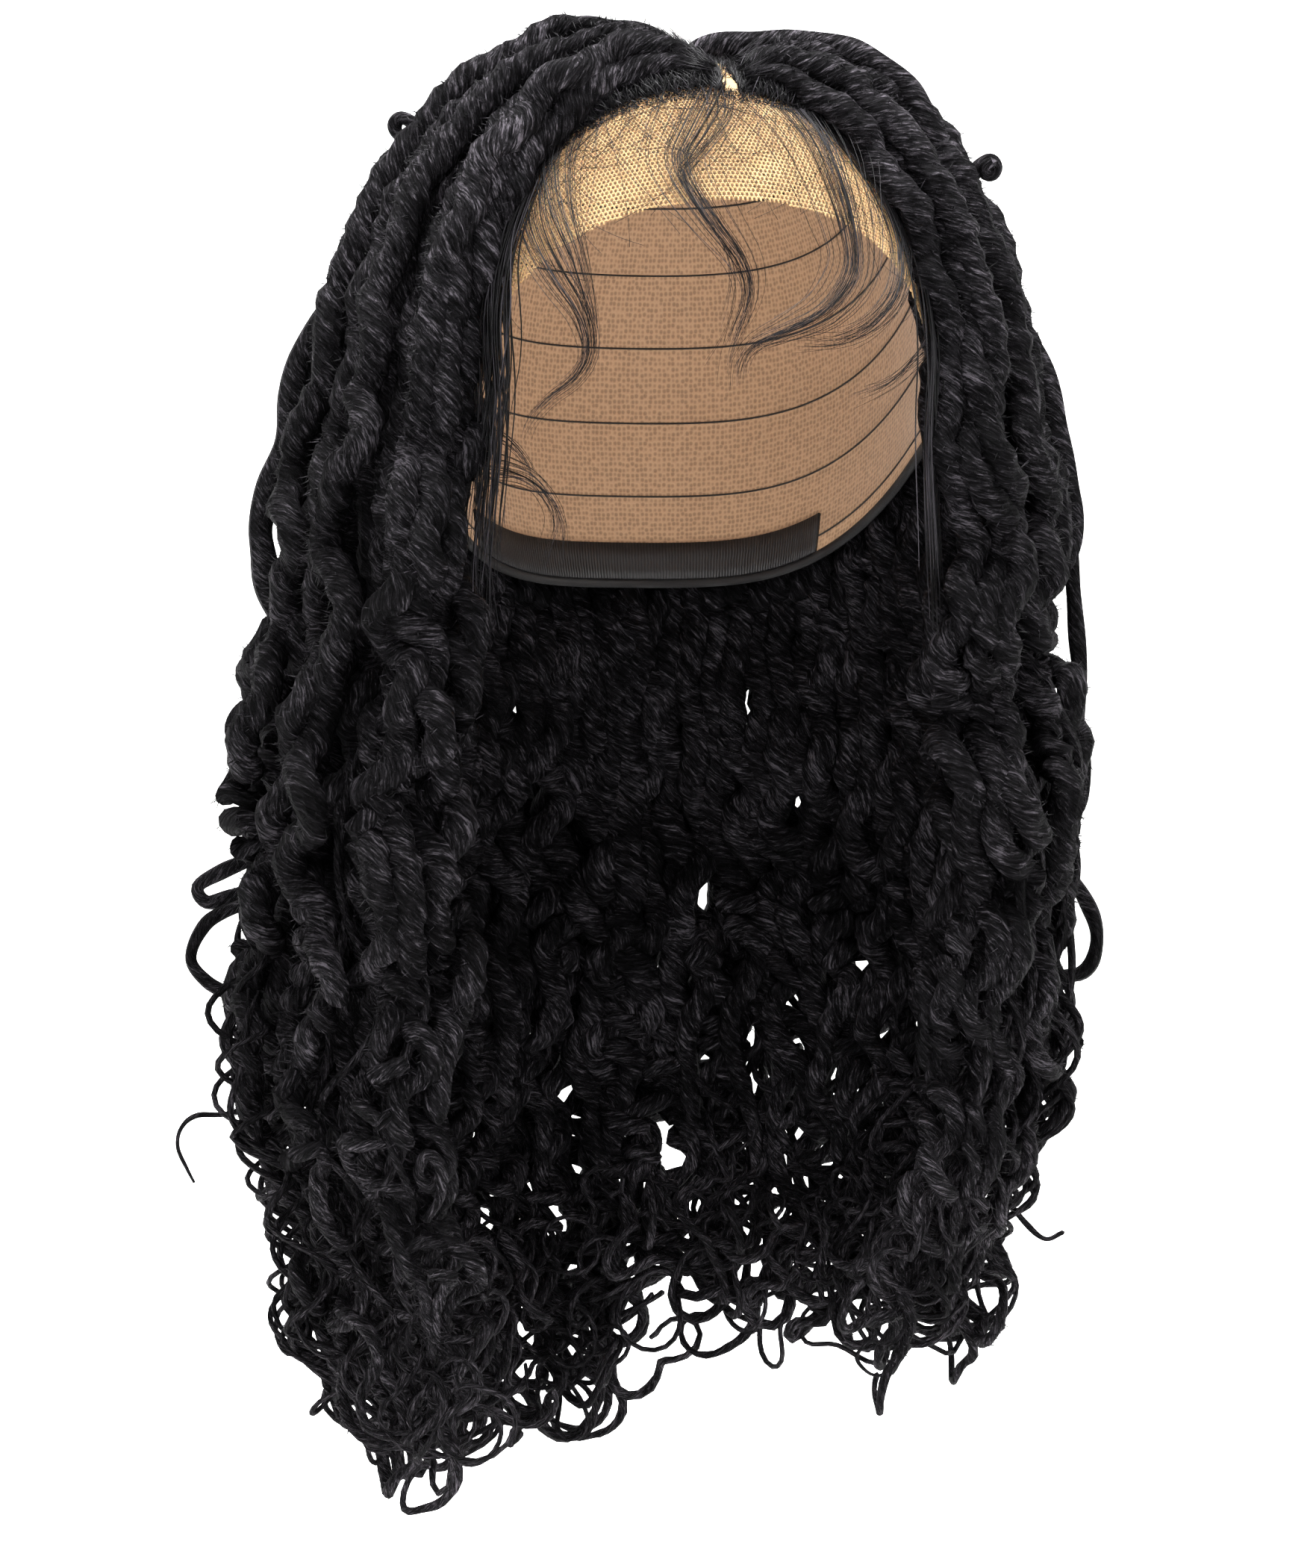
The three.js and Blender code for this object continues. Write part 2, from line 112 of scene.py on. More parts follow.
def through(points: Array, count: int) -> Array:
    """A smooth curve through a few points.

    Each span is the cubic whose slopes at its two points are half the chord between their
    neighbours.

    Args:
        points: the points, (n, 3), or (n, 2) for azimuth and drop.
        count: how many points to give back.

    Returns:
        The curve's points, evenly spaced in the spans' own parameter.
    """
    points = np.asarray(points, float)
    padded = np.vstack([2 * points[0] - points[1], points, 2 * points[-1] - points[-2]])
    t = np.linspace(0, len(points) - 1, count)
    k = np.minimum(t.astype(int), len(points) - 2)
    u = (t - k)[:, None]
    a, b, c, d = (padded[k + step] for step in range(4))
    square = 2 * a - 5 * b + 4 * c - d
    cube = 3 * b - a - 3 * c + d
    return 0.5 * (2 * b + (c - a) * u + square * u**2 + cube * u**3)


def run_of(paths: Array) -> Array:
    """How far along its path each point lies."""
    steps = np.linalg.norm(np.diff(paths, axis=-2), axis=-1)
    return np.concatenate([np.zeros((*steps.shape[:-1], 1)), np.cumsum(steps, axis=-1)], axis=-1)


def even(path: Array, count: int) -> Array:
    """The same path with points at equal distances along it."""
    run = run_of(path)
    at = np.linspace(0, run[-1], count)
    return np.stack([np.interp(at, run, path[:, axis]) for axis in range(path.shape[1])], axis=1)


def spoke(first: Array, second: Array, angle: Array) -> Array:
    """Unit vectors at an angle between two axes that stand square on each other."""
    return first * np.cos(angle)[..., None] + second * np.sin(angle)[..., None]


# The head form that all is shaped on


@dataclass(frozen=True)
class HeadForm:
    """The ellipsoid of the head above its widest level, and its tucked sides below it."""

    half_width: float = 76.0
    half_depth: float = 96.0
    crown_height: float = 100.0
    ear_azimuth: float = 78.0
    ear_drop: float = 100.0
    centre_drop: float = 28.0
    roundness: float = 2.4
    nape_drop: float = 125.0
    lace_ear_azimuth: float = 72.0
    lace_ear_drop: float = 107.0
    lace_centre_drop: float = 61.0
    lace_roundness: float = 2.2

    def direction(self, azimuth: Array | float, drop: Array | float) -> Array:
        """The unit vector at an azimuth from the face and a drop from the crown, in degrees."""
        a, t = np.radians(azimuth), np.radians(drop)
        a, t = np.broadcast_arrays(a, t)
        return np.stack([np.sin(t) * np.sin(a), -np.sin(t) * np.cos(a), np.cos(t)], axis=-1)

    def shell(self, way: Array, offset: Array | float) -> Array:
        """Points outside the form: each axis is its half size plus the offset, times the direction.

        Below the widest level the level parts of the direction are divided by the square root of
        their length, so that the form tucks in only a little.
        """
        across = np.maximum(np.hypot(way[..., 0], way[..., 1]), 1e-9)
        tuck = np.where(way[..., 2] < 0, 1 / np.sqrt(across), 1.0)
        return np.stack(
            [
                (self.half_width + offset) * way[..., 0] * tuck,
                (self.half_depth + offset) * way[..., 1] * tuck,
                (self.crown_height + offset) * way[..., 2] - self.crown_height,
            ],
            axis=-1,
        )

    def at(self, azimuth: Array | float, drop: Array | float, offset: Array | float) -> Array:
        """The point outside the form at an azimuth, a drop and an offset."""
        return self.shell(self.direction(azimuth, drop), offset)

    def hairline(self, turn: Array, beside: Array | float = 0.0) -> tuple[Array, Array]:
        """Azimuth and drop along the hairline: a rounded edge from the forehead to the ear.

        Args:
            turn: 0 in the middle of the forehead, 90 degrees at the left ear, -90 at the right.
            beside: degrees that the edge is moved down its own slope.

        Returns:
            The azimuths and the drops.
        """
        power = 2 / self.roundness
        t = np.radians(np.abs(turn))
        azimuth = np.sign(turn) * self.ear_azimuth * np.sin(t) ** power
        drop = mix(self.ear_drop, self.centre_drop, np.abs(np.cos(t)) ** power)
        slant = np.abs(np.sin(np.radians(turn)))
        return azimuth * (1 - beside * slant / self.ear_azimuth), drop + beside * (1 - slant**2)

    def rounded(self, azimuth: Array, ear: tuple[float, float], centre_drop: float, power: float) -> Array:
        """The drop of a rounded edge from its middle to its ear end, given as azimuth and drop."""
        share = np.clip(np.abs(azimuth) / ear[0], 0, 1)
        return mix(ear[1], centre_drop, (1 - share**power) ** (1 / power))

    def hairline_drop(self, azimuth: Array) -> Array:
        """The hairline's drop at an azimuth in front of the ears."""
        return self.rounded(azimuth, (self.ear_azimuth, self.ear_drop), self.centre_drop, self.roundness)

    def lace_drop(self, azimuth: Array) -> Array:
        """The drop of the lace's cut edge at an azimuth, straight from its ear end to the hairline's."""
        ear = (self.lace_ear_azimuth, self.lace_ear_drop)
        curved = self.rounded(azimuth, ear, self.lace_centre_drop, self.lace_roundness)
        beyond = (self.ear_azimuth - np.abs(azimuth)) / (self.ear_azimuth - self.lace_ear_azimuth)
        straight = mix(self.ear_drop, self.lace_ear_drop, np.clip(beyond, 0, 1))
        return np.where(np.abs(azimuth) < self.lace_ear_azimuth, curved, straight)

    def rim_drop(self, azimuth: Array) -> Array:
        """The drop of the cap's edge all round, for azimuths from 0 to 360 degrees."""
        behind = (azimuth >= self.ear_azimuth) & (azimuth <= 360 - self.ear_azimuth)
        share = np.clip((azimuth - self.ear_azimuth) / (360 - 2 * self.ear_azimuth), 0, 1)
        nape = mix(self.ear_drop, self.nape_drop, smooth(np.sin(np.pi * share), 0, 1))
        front = np.where(azimuth > 180, 360 - azimuth, azimuth)
        return np.where(behind, nape, self.hairline_drop(front))

    def outward(self, points: Array) -> Array:
        """The unit vectors from the form's middle to points on it."""
        return unit(points - np.array([0, 0, -self.crown_height]))


HEAD = HeadForm()
CAP_WALL = 1.2
CLEARANCE = 0.3


# Meshes


@dataclass
class Surface:
    """A mesh in the making: points in millimetres, faces of four and of three, and their UVs."""

    points: list = field(default_factory=list)
    quads: list = field(default_factory=list)
    tris: list = field(default_factory=list)
    quad_uvs: list = field(default_factory=list)
    tri_uvs: list = field(default_factory=list)
    total: int = 0

    def add(self, points: Array, quads: Array, quad_uvs: Array, tris: Array, tri_uvs: Array) -> None:
        """Adds points and the faces between them, with UVs for each face's corners.

        Args:
            points: (n, 3) points.
            quads: (q, 4) indices into these points, in the order that faces out.
            quad_uvs: (q, 4, 2) UVs.
            tris: (t, 3) indices.
            tri_uvs: (t, 3, 2) UVs.
        """
        self.points.append(points.reshape(-1, 3))
        self.quads.append(quads.reshape(-1, 4) + self.total)
        self.quad_uvs.append(quad_uvs.reshape(-1, 4, 2))
        self.tris.append(tris.reshape(-1, 3) + self.total)
        self.tri_uvs.append(tri_uvs.reshape(-1, 3, 2))
        self.total += self.points[-1].shape[0]

    def mesh_object(self, name: str, material: Material) -> bpy.types.Object:
        """Makes the object, in metres, with its place in its mesh."""
        points = np.concatenate(self.points) * METRES
        quads, tris = np.concatenate(self.quads), np.concatenate(self.tris)
        corners = np.concatenate([quads.ravel(), tris.ravel()]).astype(np.int32)
        uvs = np.concatenate([np.concatenate(part).ravel() for part in (self.quad_uvs, self.tri_uvs)])
        tri_starts = 4 * len(quads) + 3 * np.arange(len(tris))
        starts = np.concatenate([4 * np.arange(len(quads)), tri_starts]).astype(np.int32)
        mesh = bpy.data.meshes.new(name)
        mesh.vertices.add(len(points))
        mesh.vertices.foreach_set("co", points.astype(np.float32).ravel())
        mesh.loops.add(len(corners))
        mesh.loops.foreach_set("vertex_index", corners)
        mesh.polygons.add(len(starts))
        mesh.polygons.foreach_set("loop_start", starts)
        mesh.polygons.foreach_set("use_smooth", np.ones(len(starts), bool))
        mesh.uv_layers.new(name="UVMap").data.foreach_set("uv", uvs.astype(np.float32))
        mesh.update(calc_edges=True)
        mesh.validate()
        mesh.materials.append(material)
        made = bpy.data.objects.new(name, mesh)
        bpy.context.scene.collection.objects.link(made)
        return made

    def piece(self, name: str, material: Material, nodes: tuple = ()) -> None:
        """Makes the object a piece of the wig that rides on the root body.

        Args:
            name: the piece's name.
            material: what it is made of.
            nodes: the frame's nodes that it stands for.
        """
        made = self.mesh_object(name, material)
        if nodes:
            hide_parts(*nodes)
        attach(made, "root")
        LOG.info("%s: %d triangles", name, 2 * sum(map(len, self.quads)) + sum(map(len, self.tris)))


def transported(paths: Array) -> tuple[Array, Array, Array]:
    """Frames carried along paths without turning about them.

    Each ring's first axis is the one before it less its part along the path, made unit length.

    Args:
        paths: (lines, rings, 3) points.

    Returns:
        Unit tangents, first axes and second axes, each shaped as the paths.
    """
    tangents = unit(np.gradient(paths, axis=1))
    first = np.empty_like(paths)
    helper = np.where(np.abs(tangents[:, 0, 2:3]) > 0.9, [[1.0, 0.0, 0.0]], [[0.0, 0.0, 1.0]])
    lean = unit(np.cross(tangents[:, 0], helper))
    for ring in range(paths.shape[1]):
        along = np.sum(lean * tangents[:, ring], axis=-1, keepdims=True)
        lean = unit(lean - along * tangents[:, ring])
        first[:, ring] = lean
    return tangents, first, np.cross(tangents, first)


def tubes(surface: Surface, paths: Array, radii: Array, sides: int, shifts: Array | None = None) -> None:
    """Adds closed tubes: rings of a radius round each path's points, and a pole at each end.

    The UV's U goes once round from 0 to 1, and V is the distance along the path in metres, plus
    the tube's own shift.

    Args:
        surface: the mesh in the making.
        paths: (lines, rings, 3) centres.
        radii: (lines, rings) or (lines, rings, sides) radii.
        sides: corners of a ring.
        shifts: (lines,) what is added to V, so that no two tubes have the same pattern.
    """
    lines, rings, _ = paths.shape
    tangents, first, second = transported(paths)
    if radii.ndim == 2:
        radii = np.repeat(radii[:, :, None], sides, axis=2)
    angle = 2 * np.pi * np.arange(sides) / sides
    spokes = spoke(first[:, :, None], second[:, :, None], angle)
    ring_points = paths[:, :, None] + radii[..., None] * spokes
    start = paths[:, 0] - tangents[:, 0] * radii[:, 0, :1] * 0.4
    end = paths[:, -1] + tangents[:, -1] * radii[:, -1, :1] * 0.8
    points = np.concatenate([ring_points.reshape(lines, -1, 3), start[:, None], end[:, None]], axis=1)
    base = (np.arange(lines) * (rings * sides + 2))[:, None, None]
    k, s = np.meshgrid(np.arange(rings - 1), np.arange(sides), indexing="ij")
    low, high, n = k * sides, (k + 1) * sides, (s + 1) % sides
    quads = base[..., None] + np.stack([low + s, low + n, high + n, high + s], axis=-1)[None]
    v = run_of(paths) * METRES + (0 if shifts is None else shifts[:, None])
    corners = np.broadcast_arrays(s / sides, v[:, :-1, None], (s + 1) / sides, v[:, 1:, None])
    u0, v0, u1, v1 = corners
    quad_uvs = np.stack([u0, v0, u1, v0, u1, v1, u0, v1], axis=-1).reshape(*v0.shape, 4, 2)
    around = np.arange(sides)
    ahead = (around + 1) % sides
    last = (rings - 1) * sides
    cap_start = np.stack([np.full(sides, rings * sides), ahead, around], axis=-1)
    cap_end = np.stack([np.full(sides, rings * sides + 1), last + around, last + ahead], axis=-1)
    tris = base + np.concatenate([cap_start, cap_end])[None]
    flat = np.stack([np.tile(around / sides, 2), np.zeros(2 * sides)], axis=-1)
    tri_uvs = np.broadcast_to(flat[None, :, None], (lines, 2 * sides, 3, 2)).copy()
    tri_uvs[:, :sides, :, 1] = v[:, :1, None]
    tri_uvs[:, sides:, :, 1] = v[:, -1:, None]
    surface.add(points, quads, quad_uvs, tris, tri_uvs)


def spikes(surface: Surface, roots: Array, tips: Array, radius: float | Array, shifts: Array) -> None:
    """Adds closed three-sided spikes, each a triangle at its root that runs to a point at its tip.

    Args:
        surface: the mesh in the making.
        roots: (n, 3) where they start.
        tips: (n, 3) where they end.
        radius: of the root.
        shifts: (n,) what is added to each one's V.
    """
    way = unit(tips - roots)
    helper = np.where(np.abs(way[:, 2:3]) > 0.9, [[1.0, 0.0, 0.0]], [[0.0, 0.0, 1.0]])
    first = unit(np.cross(way, helper))
    second = np.cross(way, first)
    angle = 2 * np.pi * np.arange(3) / 3
    corners = roots[:, None] + np.reshape(radius, (-1, 1, 1)) * spoke(first[:, None], second[:, None], angle)
    points = np.concatenate([corners, tips[:, None]], axis=1)
    base = (np.arange(len(roots)) * 4)[:, None, None]
    tris = base + np.array([[0, 1, 3], [1, 2, 3], [2, 0, 3], [0, 2, 1]])[None]
    tri_uvs = np.zeros((len(roots), 4, 3, 2))
    tri_uvs[:, :3, 2, 1] = np.linalg.norm(tips - roots, axis=1)[:, None] * METRES
    tri_uvs[..., 1] += shifts[:, None, None]
    surface.add(points, np.zeros((0, 4), int), np.zeros((0, 4, 2)), tris, tri_uvs)


def sheet_wall(surface: Surface, outer: Array, inner: Array, closed: bool) -> None:
    """Adds a closed wall between two grids of points, with its rims joined.

    Args:
        surface: the mesh in the making.
        outer: (rows, columns, 3) points of the face that looks out; rows go down, columns go
            anticlockwise seen from above.
        inner: the same for the face that looks in.
        closed: whether the last column joins the first.
    """
    rows, columns, _ = outer.shape
    edge = np.arange(columns if closed else columns - 1)
    ahead = (edge + 1) % columns
    r = columns * np.arange(rows - 1)[:, None]
    out = np.stack([r + edge, r + columns + edge, r + columns + ahead, r + ahead], axis=-1)
    shift = rows * columns
    into = (out + shift)[..., ::-1]
    low = (rows - 1) * columns
    top = np.stack([edge, ahead, ahead + shift, edge + shift], axis=-1)
    bottom = np.stack([low + edge, low + edge + shift, low + ahead + shift, low + ahead], axis=-1)
    faces = [out.reshape(-1, 4), into.reshape(-1, 4), top, bottom]
    if not closed:
        k = np.arange(rows - 1) * columns
        faces.append(np.stack([k, k + shift, k + columns + shift, k + columns], axis=-1))
        m = k + columns - 1
        faces.append(np.stack([m, m + columns, m + columns + shift, m + shift], axis=-1))
    quads = np.concatenate(faces)
    points = np.concatenate([outer.reshape(-1, 3), inner.reshape(-1, 3)])
    across, down = run_of(outer[rows // 2]), run_of(outer[:, columns // 2])
    uv = np.stack(np.broadcast_arrays(across[None, :], down[:, None]), axis=-1).reshape(-1, 2)
    uv = np.tile(uv * METRES, (2, 1))
    surface.add(points, quads, uv[quads], np.zeros((0, 3), int), np.zeros((0, 3, 2)))


# Finishes


def linear(hex_colour: str) -> tuple[float, float, float, float]:
    """A colour that was read as sRGB hex, turned to the linear one that shaders take."""
    parts = [int(hex_colour[k : k + 2], 16) / 255 for k in (1, 3, 5)]
    return (*[p / 12.92 if p <= 0.04045 else ((p + 0.055) / 1.055) ** 2.4 for p in parts], 1.0)


def add_node(
    tree: bpy.types.NodeTree, kind: str, inputs: dict | None = None, **settings: object
) -> bpy.types.Node:
    """Adds a node with its settings, values and links.

    Args:
        tree: the material's tree.
        kind: the node's type, without the words ShaderNode.
        inputs: by the input's name or number, a value, or the output that is linked to it.
        settings: attributes of the node; stops is a ramp's places and sRGB hex colours.

    Returns:
        The node.
    """
    made = tree.nodes.new("ShaderNode" + kind)
    for number, (place, colour) in enumerate(settings.pop("stops", [])):
        elements = made.color_ramp.elements
        element = elements[number] if number < 2 else elements.new(1.0)
        element.position = place
        element.color = linear(colour)
    for name, value in settings.items():
        setattr(made, name, value)
    for key, value in (inputs or {}).items():
        if isinstance(value, Socket):
            tree.links.new(value, made.inputs[key])
        else:
            made.inputs[key].default_value = value
    return made


class Recipe:
    """A material in the making, with the nodes that the finishes share."""

    def __init__(self, name: str) -> None:
        """Starts a material with an empty tree."""
        self.made = bpy.data.materials.new(name)
        self.made.use_nodes = True
        self.tree = self.made.node_tree
        self.tree.nodes.clear()

    def uv(self) -> Socket:
        """The piece's own UVs, in metres along it."""
        return add_node(self.tree, "UVMap", uv_map="UVMap").outputs["UV"]

    def place(self) -> Socket:
        """The point's place on the object, in metres."""
        return add_node(self.tree, "TexCoord").outputs["Object"]

    def part(self, vector: Socket, axis: str) -> Socket:
        """One axis of a vector."""
        return add_node(self.tree, "SeparateXYZ", {0: vector}).outputs[axis]

    def vector(self, *parts: Socket) -> Socket:
        """A vector of three parts."""
        return add_node(self.tree, "CombineXYZ", dict(enumerate(parts))).outputs[0]

    def sum(self, kind: str, *values: Socket | float) -> Socket:
        """The result of one sum: MULTIPLY, MULTIPLY_ADD, SINE or COSINE."""
        return add_node(self.tree, "Math", dict(enumerate(values)), operation=kind).outputs[0]

    def scaled(self, vector: Socket, scale: float) -> Socket:
        """A vector times a number."""
        return add_node(self.tree, "VectorMath", {0: vector, "Scale": scale}, operation="SCALE").outputs[0]

    def noise(self, vector: Socket, scale: float, detail: float, **inputs: float) -> Socket:
        """Noise round 0.5 at each point."""
        values = {"Vector": vector, "Scale": scale, "Detail": detail, **inputs}
        return add_node(self.tree, "TexNoise", values).outputs["Fac"]

    def ramp(self, share: Socket, *stops: tuple[float, str]) -> Socket:
        """A colour by share."""
        return add_node(self.tree, "ValToRGB", {"Fac": share}, stops=stops).outputs["Color"]

    def span(self, value: Socket, low: float, high: float, first: float = 0.0, last: float = 1.0) -> Socket:
        """A value between low and high, laid between first and last."""
        values = {"Value": value, "From Min": low, "From Max": high, "To Min": first, "To Max": last}
        return add_node(self.tree, "MapRange", values).outputs["Result"]

    def bump(self, height: Socket, strength: float, distance: float, **inputs: Socket) -> Socket:
        """A bumped normal, with the distance in metres."""
        values = {"Height": height, "Strength": strength, "Distance": distance, **inputs}
        return add_node(self.tree, "Bump", values).outputs["Normal"]

    def finish(self, colour: Socket, roughness: Socket | float, others: dict) -> Material:
        """Ends the tree in one shader and its output.

        Args:
            colour: the shader's base colour.
            roughness: the shader's roughness.
            others: the values and links of its other inputs, by name.

        Returns:
            The material.
        """
        values = {"Base Color": colour, "Roughness": roughness, **others}
        shader = add_node(self.tree, "BsdfPrincipled", values)
        add_node(self.tree, "OutputMaterial", {"Surface": shader.outputs["BSDF"]})
        return self.made


@dataclass(frozen=True)
class WrappedFibre:
    """Off-black synthetic braiding fibre, wound by hand round each loc.

    The fibres lie at a steep slant to the loc's axis. That gives the eye short grey streaks
    side by side and dark grooves between turns. The streaks' tone is partly the fibre's own and
    partly painted light: the grey and light stops are painted highlight on the streaks, and the
    darkest stop is painted shade in the grooves, since tone and bump come from the same noises.
    Over that lies painted light by height: the crown is painted lighter, as if lit from above,
    half-way down is painted darkest, as painted shade, and the tips are a little lighter than the middle.
    Single fibres are 0.07 mm, too fine to show, so the streaks are drawn about 0.6 mm wide.
    """

    name: str = "wrapped_loc_fibre"
    turns_per_metre: float = 40.0
    streaks_round: float = 5.2
    streak_length: float = 0.0023
    # The fibre's own streak tone, but its grey and light stops are painted highlight and its darkest stop
    # painted shade in the grooves.
    tones: tuple = ((0.0, "#060606"), (0.42, "#161517"), (0.68, "#312f32"), (0.92, "#69646b"))
    # Painted light by height, multiplied into the colour: lighter on the crown as if lit from above, darkest
    # half-way down as painted shade.
    wear: tuple = (
        (0.08, "#f0f0f0"),
        (0.35, "#b4b4b4"),
        (0.7, "#b0b0b0"),
        (0.86, "#e4e4e4"),
        (0.97, "#ffffff"),
    )
    wear_heights: tuple[float, float] = (-0.42, 0.0)
    roughness: float = 0.55

    def material(self) -> Material:
        """Builds the material: noise in the loc's own unrolled and twisted space."""
        make = Recipe(self.name)
        unrolled = make.uv()
        along = make.part(unrolled, "Y")
        twist = make.sum("MULTIPLY_ADD", along, self.turns_per_metre, make.part(unrolled, "X"))
        angle = make.sum("MULTIPLY", twist, 2 * math.pi)
        ring = [make.sum(kind, angle) for kind in ("COSINE", "SINE")]
        ring = [make.sum("MULTIPLY", value, self.streaks_round) for value in ring]
        spot = make.vector(*ring, make.sum("MULTIPLY", along, 1 / self.streak_length))
        streak = make.noise(spot, 1.0, 4.0, Roughness=0.75)
        tuft = make.noise(spot, 0.33, 1.0)
        patch = make.noise(make.place(), 38.0, 2.0)
        tone = make.sum("MULTIPLY_ADD", patch, 0.25, make.sum("MULTIPLY_ADD", tuft, 0.35, streak))
        # Tone ramp: the fibre's own streaks, with painted highlight on their ridges and painted shade in the
        # grooves, as tone and bump share noises.
        colour = make.ramp(make.span(tone, 0.64, 1.0), *self.tones)
        # Painted light by height: a ramp on the object's Z that lightens the crown and darkens the middle of
        # the hanging length, multiplied into the fibre colour.
        wear = make.ramp(make.span(make.part(make.place(), "Z"), *self.wear_heights), *self.wear)
        values = {0: 1.0, 6: colour, 7: wear}
        painted_light_colour = add_node(make.tree, "Mix", values, data_type="RGBA", blend_type="MULTIPLY").outputs[2]
        fine = make.bump(streak, 1.0, 0.0016)
        bump = make.bump(tuft, 0.8, 0.003, Normal=fine)
        rough = make.span(streak, 0.3, 0.7, self.roughness + 0.14, self.roughness - 0.1)
        return make.finish(painted_light_colour, rough, {"Normal": bump, "IOR": 1.5, "Specular IOR Level": 0.02})


@dataclass(frozen=True)
class LooseFibre:
    """The same off-black fibre left loose and smooth.

    It gives fine lines, most of them near black and a few grey, with a soft gleam.
    """

    name: str = "loose_hair_fibre"
    tones: tuple = ((0.3, "#040404"), (0.55, "#0e0d0f"), (0.75, "#39363b"))
    roughness: float = 0.42

    def material(self) -> Material:
        """Builds the material: each hair has its own tone, since its V starts at a place of its own."""
        make = Recipe(self.name)
        values = {"W": make.part(make.uv(), "Y"), "Scale": 9.0, "Detail": 2.0}
        tone = add_node(make.tree, "TexNoise", values, noise_dimensions="1D").outputs["Fac"]
        bump = make.bump(tone, 0.2, 0.0002)
        others = {"Normal": bump, "IOR": 1.5, "Specular IOR Level": 0.12}
        return make.finish(make.ramp(tone, *self.tones), self.roughness, others)


@dataclass(frozen=True)
class HairLace:
    """Tan monofilament lace: matte, slightly see-through thread whose tone changes from spot to spot."""

    name: str = "tan_lace_thread"
    tones: tuple = ((0.45, "#987a52"), (0.75, "#ab8a5e"), (1.0, "#bb9a6c"))

    def material(self) -> Material:
        """Builds the material: thread tone over 0.8 mm, and broad tone over 15 mm."""
        make = Recipe(self.name)
        fine = make.noise(make.place(), 1200.0, 2.0)
        broad = make.noise(make.place(), 65.0, 2.0)
        colour = make.ramp(make.sum("MULTIPLY_ADD", fine, 0.5, broad), *self.tones)
        glow = {"Subsurface Weight": 0.15, "Subsurface Scale": 0.001}
        return make.finish(colour, 0.7, {"Normal": make.bump(fine, 0.4, 0.0002), "IOR": 1.5, **glow})


@dataclass(frozen=True)
class StretchNet:
    """Knitted nylon stretch net, black outside and tan for the lining.

    It gives small dark pits 1.4 mm apart between lighter threads, and a dull nylon sheen.
    """

    name: str = "black_stretch_net"
    pitch: float = 0.0014
    pit: str = "#060606"
    thread: str = "#211e1e"

    def material(self) -> Material:
        """Builds the material: rounded cells on the piece's own UVs, in rows and columns of the pitch."""
        make = Recipe(self.name)
        values = {"Vector": make.uv(), "Scale": 1 / self.pitch, "Randomness": 0.35}
        cells = add_node(make.tree, "TexVoronoi", values).outputs["Distance"]
        colour = make.ramp(cells, (0.25, self.pit), (0.55, self.thread))
        others = {"Normal": make.bump(cells, 0.6, 0.0005), "IOR": 1.53, "Sheen Weight": 0.2}
        return make.finish(colour, 0.78, others)


@dataclass(frozen=True)
class WovenTape:
    """Black woven elastic and binding tape: ribs 1 mm apart across it, and a faint satin sheen."""

    name: str = "black_woven_tape"
    rib: float = 0.001

    def material(self) -> Material:
        """Builds the material: ribs on the piece's own UVs."""
        make = Recipe(self.name)
        values = {"Vector": make.scaled(make.uv(), 1 / self.rib), "Scale": 0.31, "Distortion": 1.5}
        ribs = add_node(make.tree, "TexWave", values, bands_direction="X").outputs["Fac"]
        colour = make.ramp(ribs, (0.2, "#0a0909"), (0.8, "#262324"))
        return make.finish(colour, 0.6, {"Normal": make.bump(ribs, 0.5, 0.0003), "IOR": 1.5})


@dataclass(frozen=True)
class StudioPaper:
    """Matte white background paper that glows a little, with a tone that wavers very slightly."""

    name: str = "white_studio_paper"
    glow: float = 0.62

    def material(self) -> Material:
        """Builds the material."""
        make = Recipe(self.name)
        colour = make.ramp(make.noise(make.place(), 1.5, 2.0), (0.3, "#f4f4f4"), (0.7, "#f8f8f7"))
        light = {"Emission Color": linear("#ffffff"), "Emission Strength": self.glow}
        return make.finish(colour, 0.95, {"Specular IOR Level": 0.1, **light})


# Locs


def coiled(line: Array, beside: Array, out: Array, reach: Array, phase: Array, hand: float) -> Array:
    """A line wound round itself: moved beside and out by a reach, at a phase."""
    return line + (reach * np.cos(phase))[:, None] * beside + (hand * reach * np.sin(phase))[:, None] * out


@dataclass(frozen=True)
class Habit:
    """How the locs of one side hang.

    Length is how far they hang below the head's widest level. Swing is how many degrees they turn
    towards the back. Flare is how far they stand out half-way down, tuck how far their low ends
    come in, and waist how far they bulge out between, all in millimetres.
    """

    length: float
    swing: float
    flare: float
    tuck: float
    waist: float


HABITS = {
    Side.LEFT: Habit(length=322.0, swing=2, flare=12, tuck=14, waist=-5),
    Side.RIGHT: Habit(length=352.0, swing=5, flare=22, tuck=0, waist=4),
}
BASE_OFFSET = 9.6  # how far outside the head form the middle of the inner layer hangs
LAYER_STEP = 14.0  # how much further out the next layer hangs
SEAT = 5.6  # half the room that a loc takes
BEND = 29.0  # half the period of a loc's sideways wave
FLARE_SPAN = 300.0  # the drop over which a side flares out and comes in again
FRONT_FALL = 64  # the azimuth of the foremost loc, which swings the most
BACK_FALL = 172  # the azimuth of the hindmost loc, which doesn't swing
CRINKLE = 4.0  # how far a loc crinkles in and out
TUCK_DROPS = (200, 330)  # the drops between which the low ends come in
WAIST_DROP = 238  # the drop of the waist's middle
WAIST_SPREAD = 32  # how far above and below that the waist reaches
CRIMP_PITCH = (26, 38)  # how far along a loc one crimp goes
KNOT_REACH = 9  # how far to both sides of a pinch a loc is thinner
CURL_LENGTH = (40, 72)  # how long a loc's curled end is
CURL_RADIUS = 16  # the radius that a curl starts with
CURL_END_RADIUS = (6, 9)  # the radius that it tightens to
TIP_RADIUS = 2.2  # a loc's radius where its curl starts


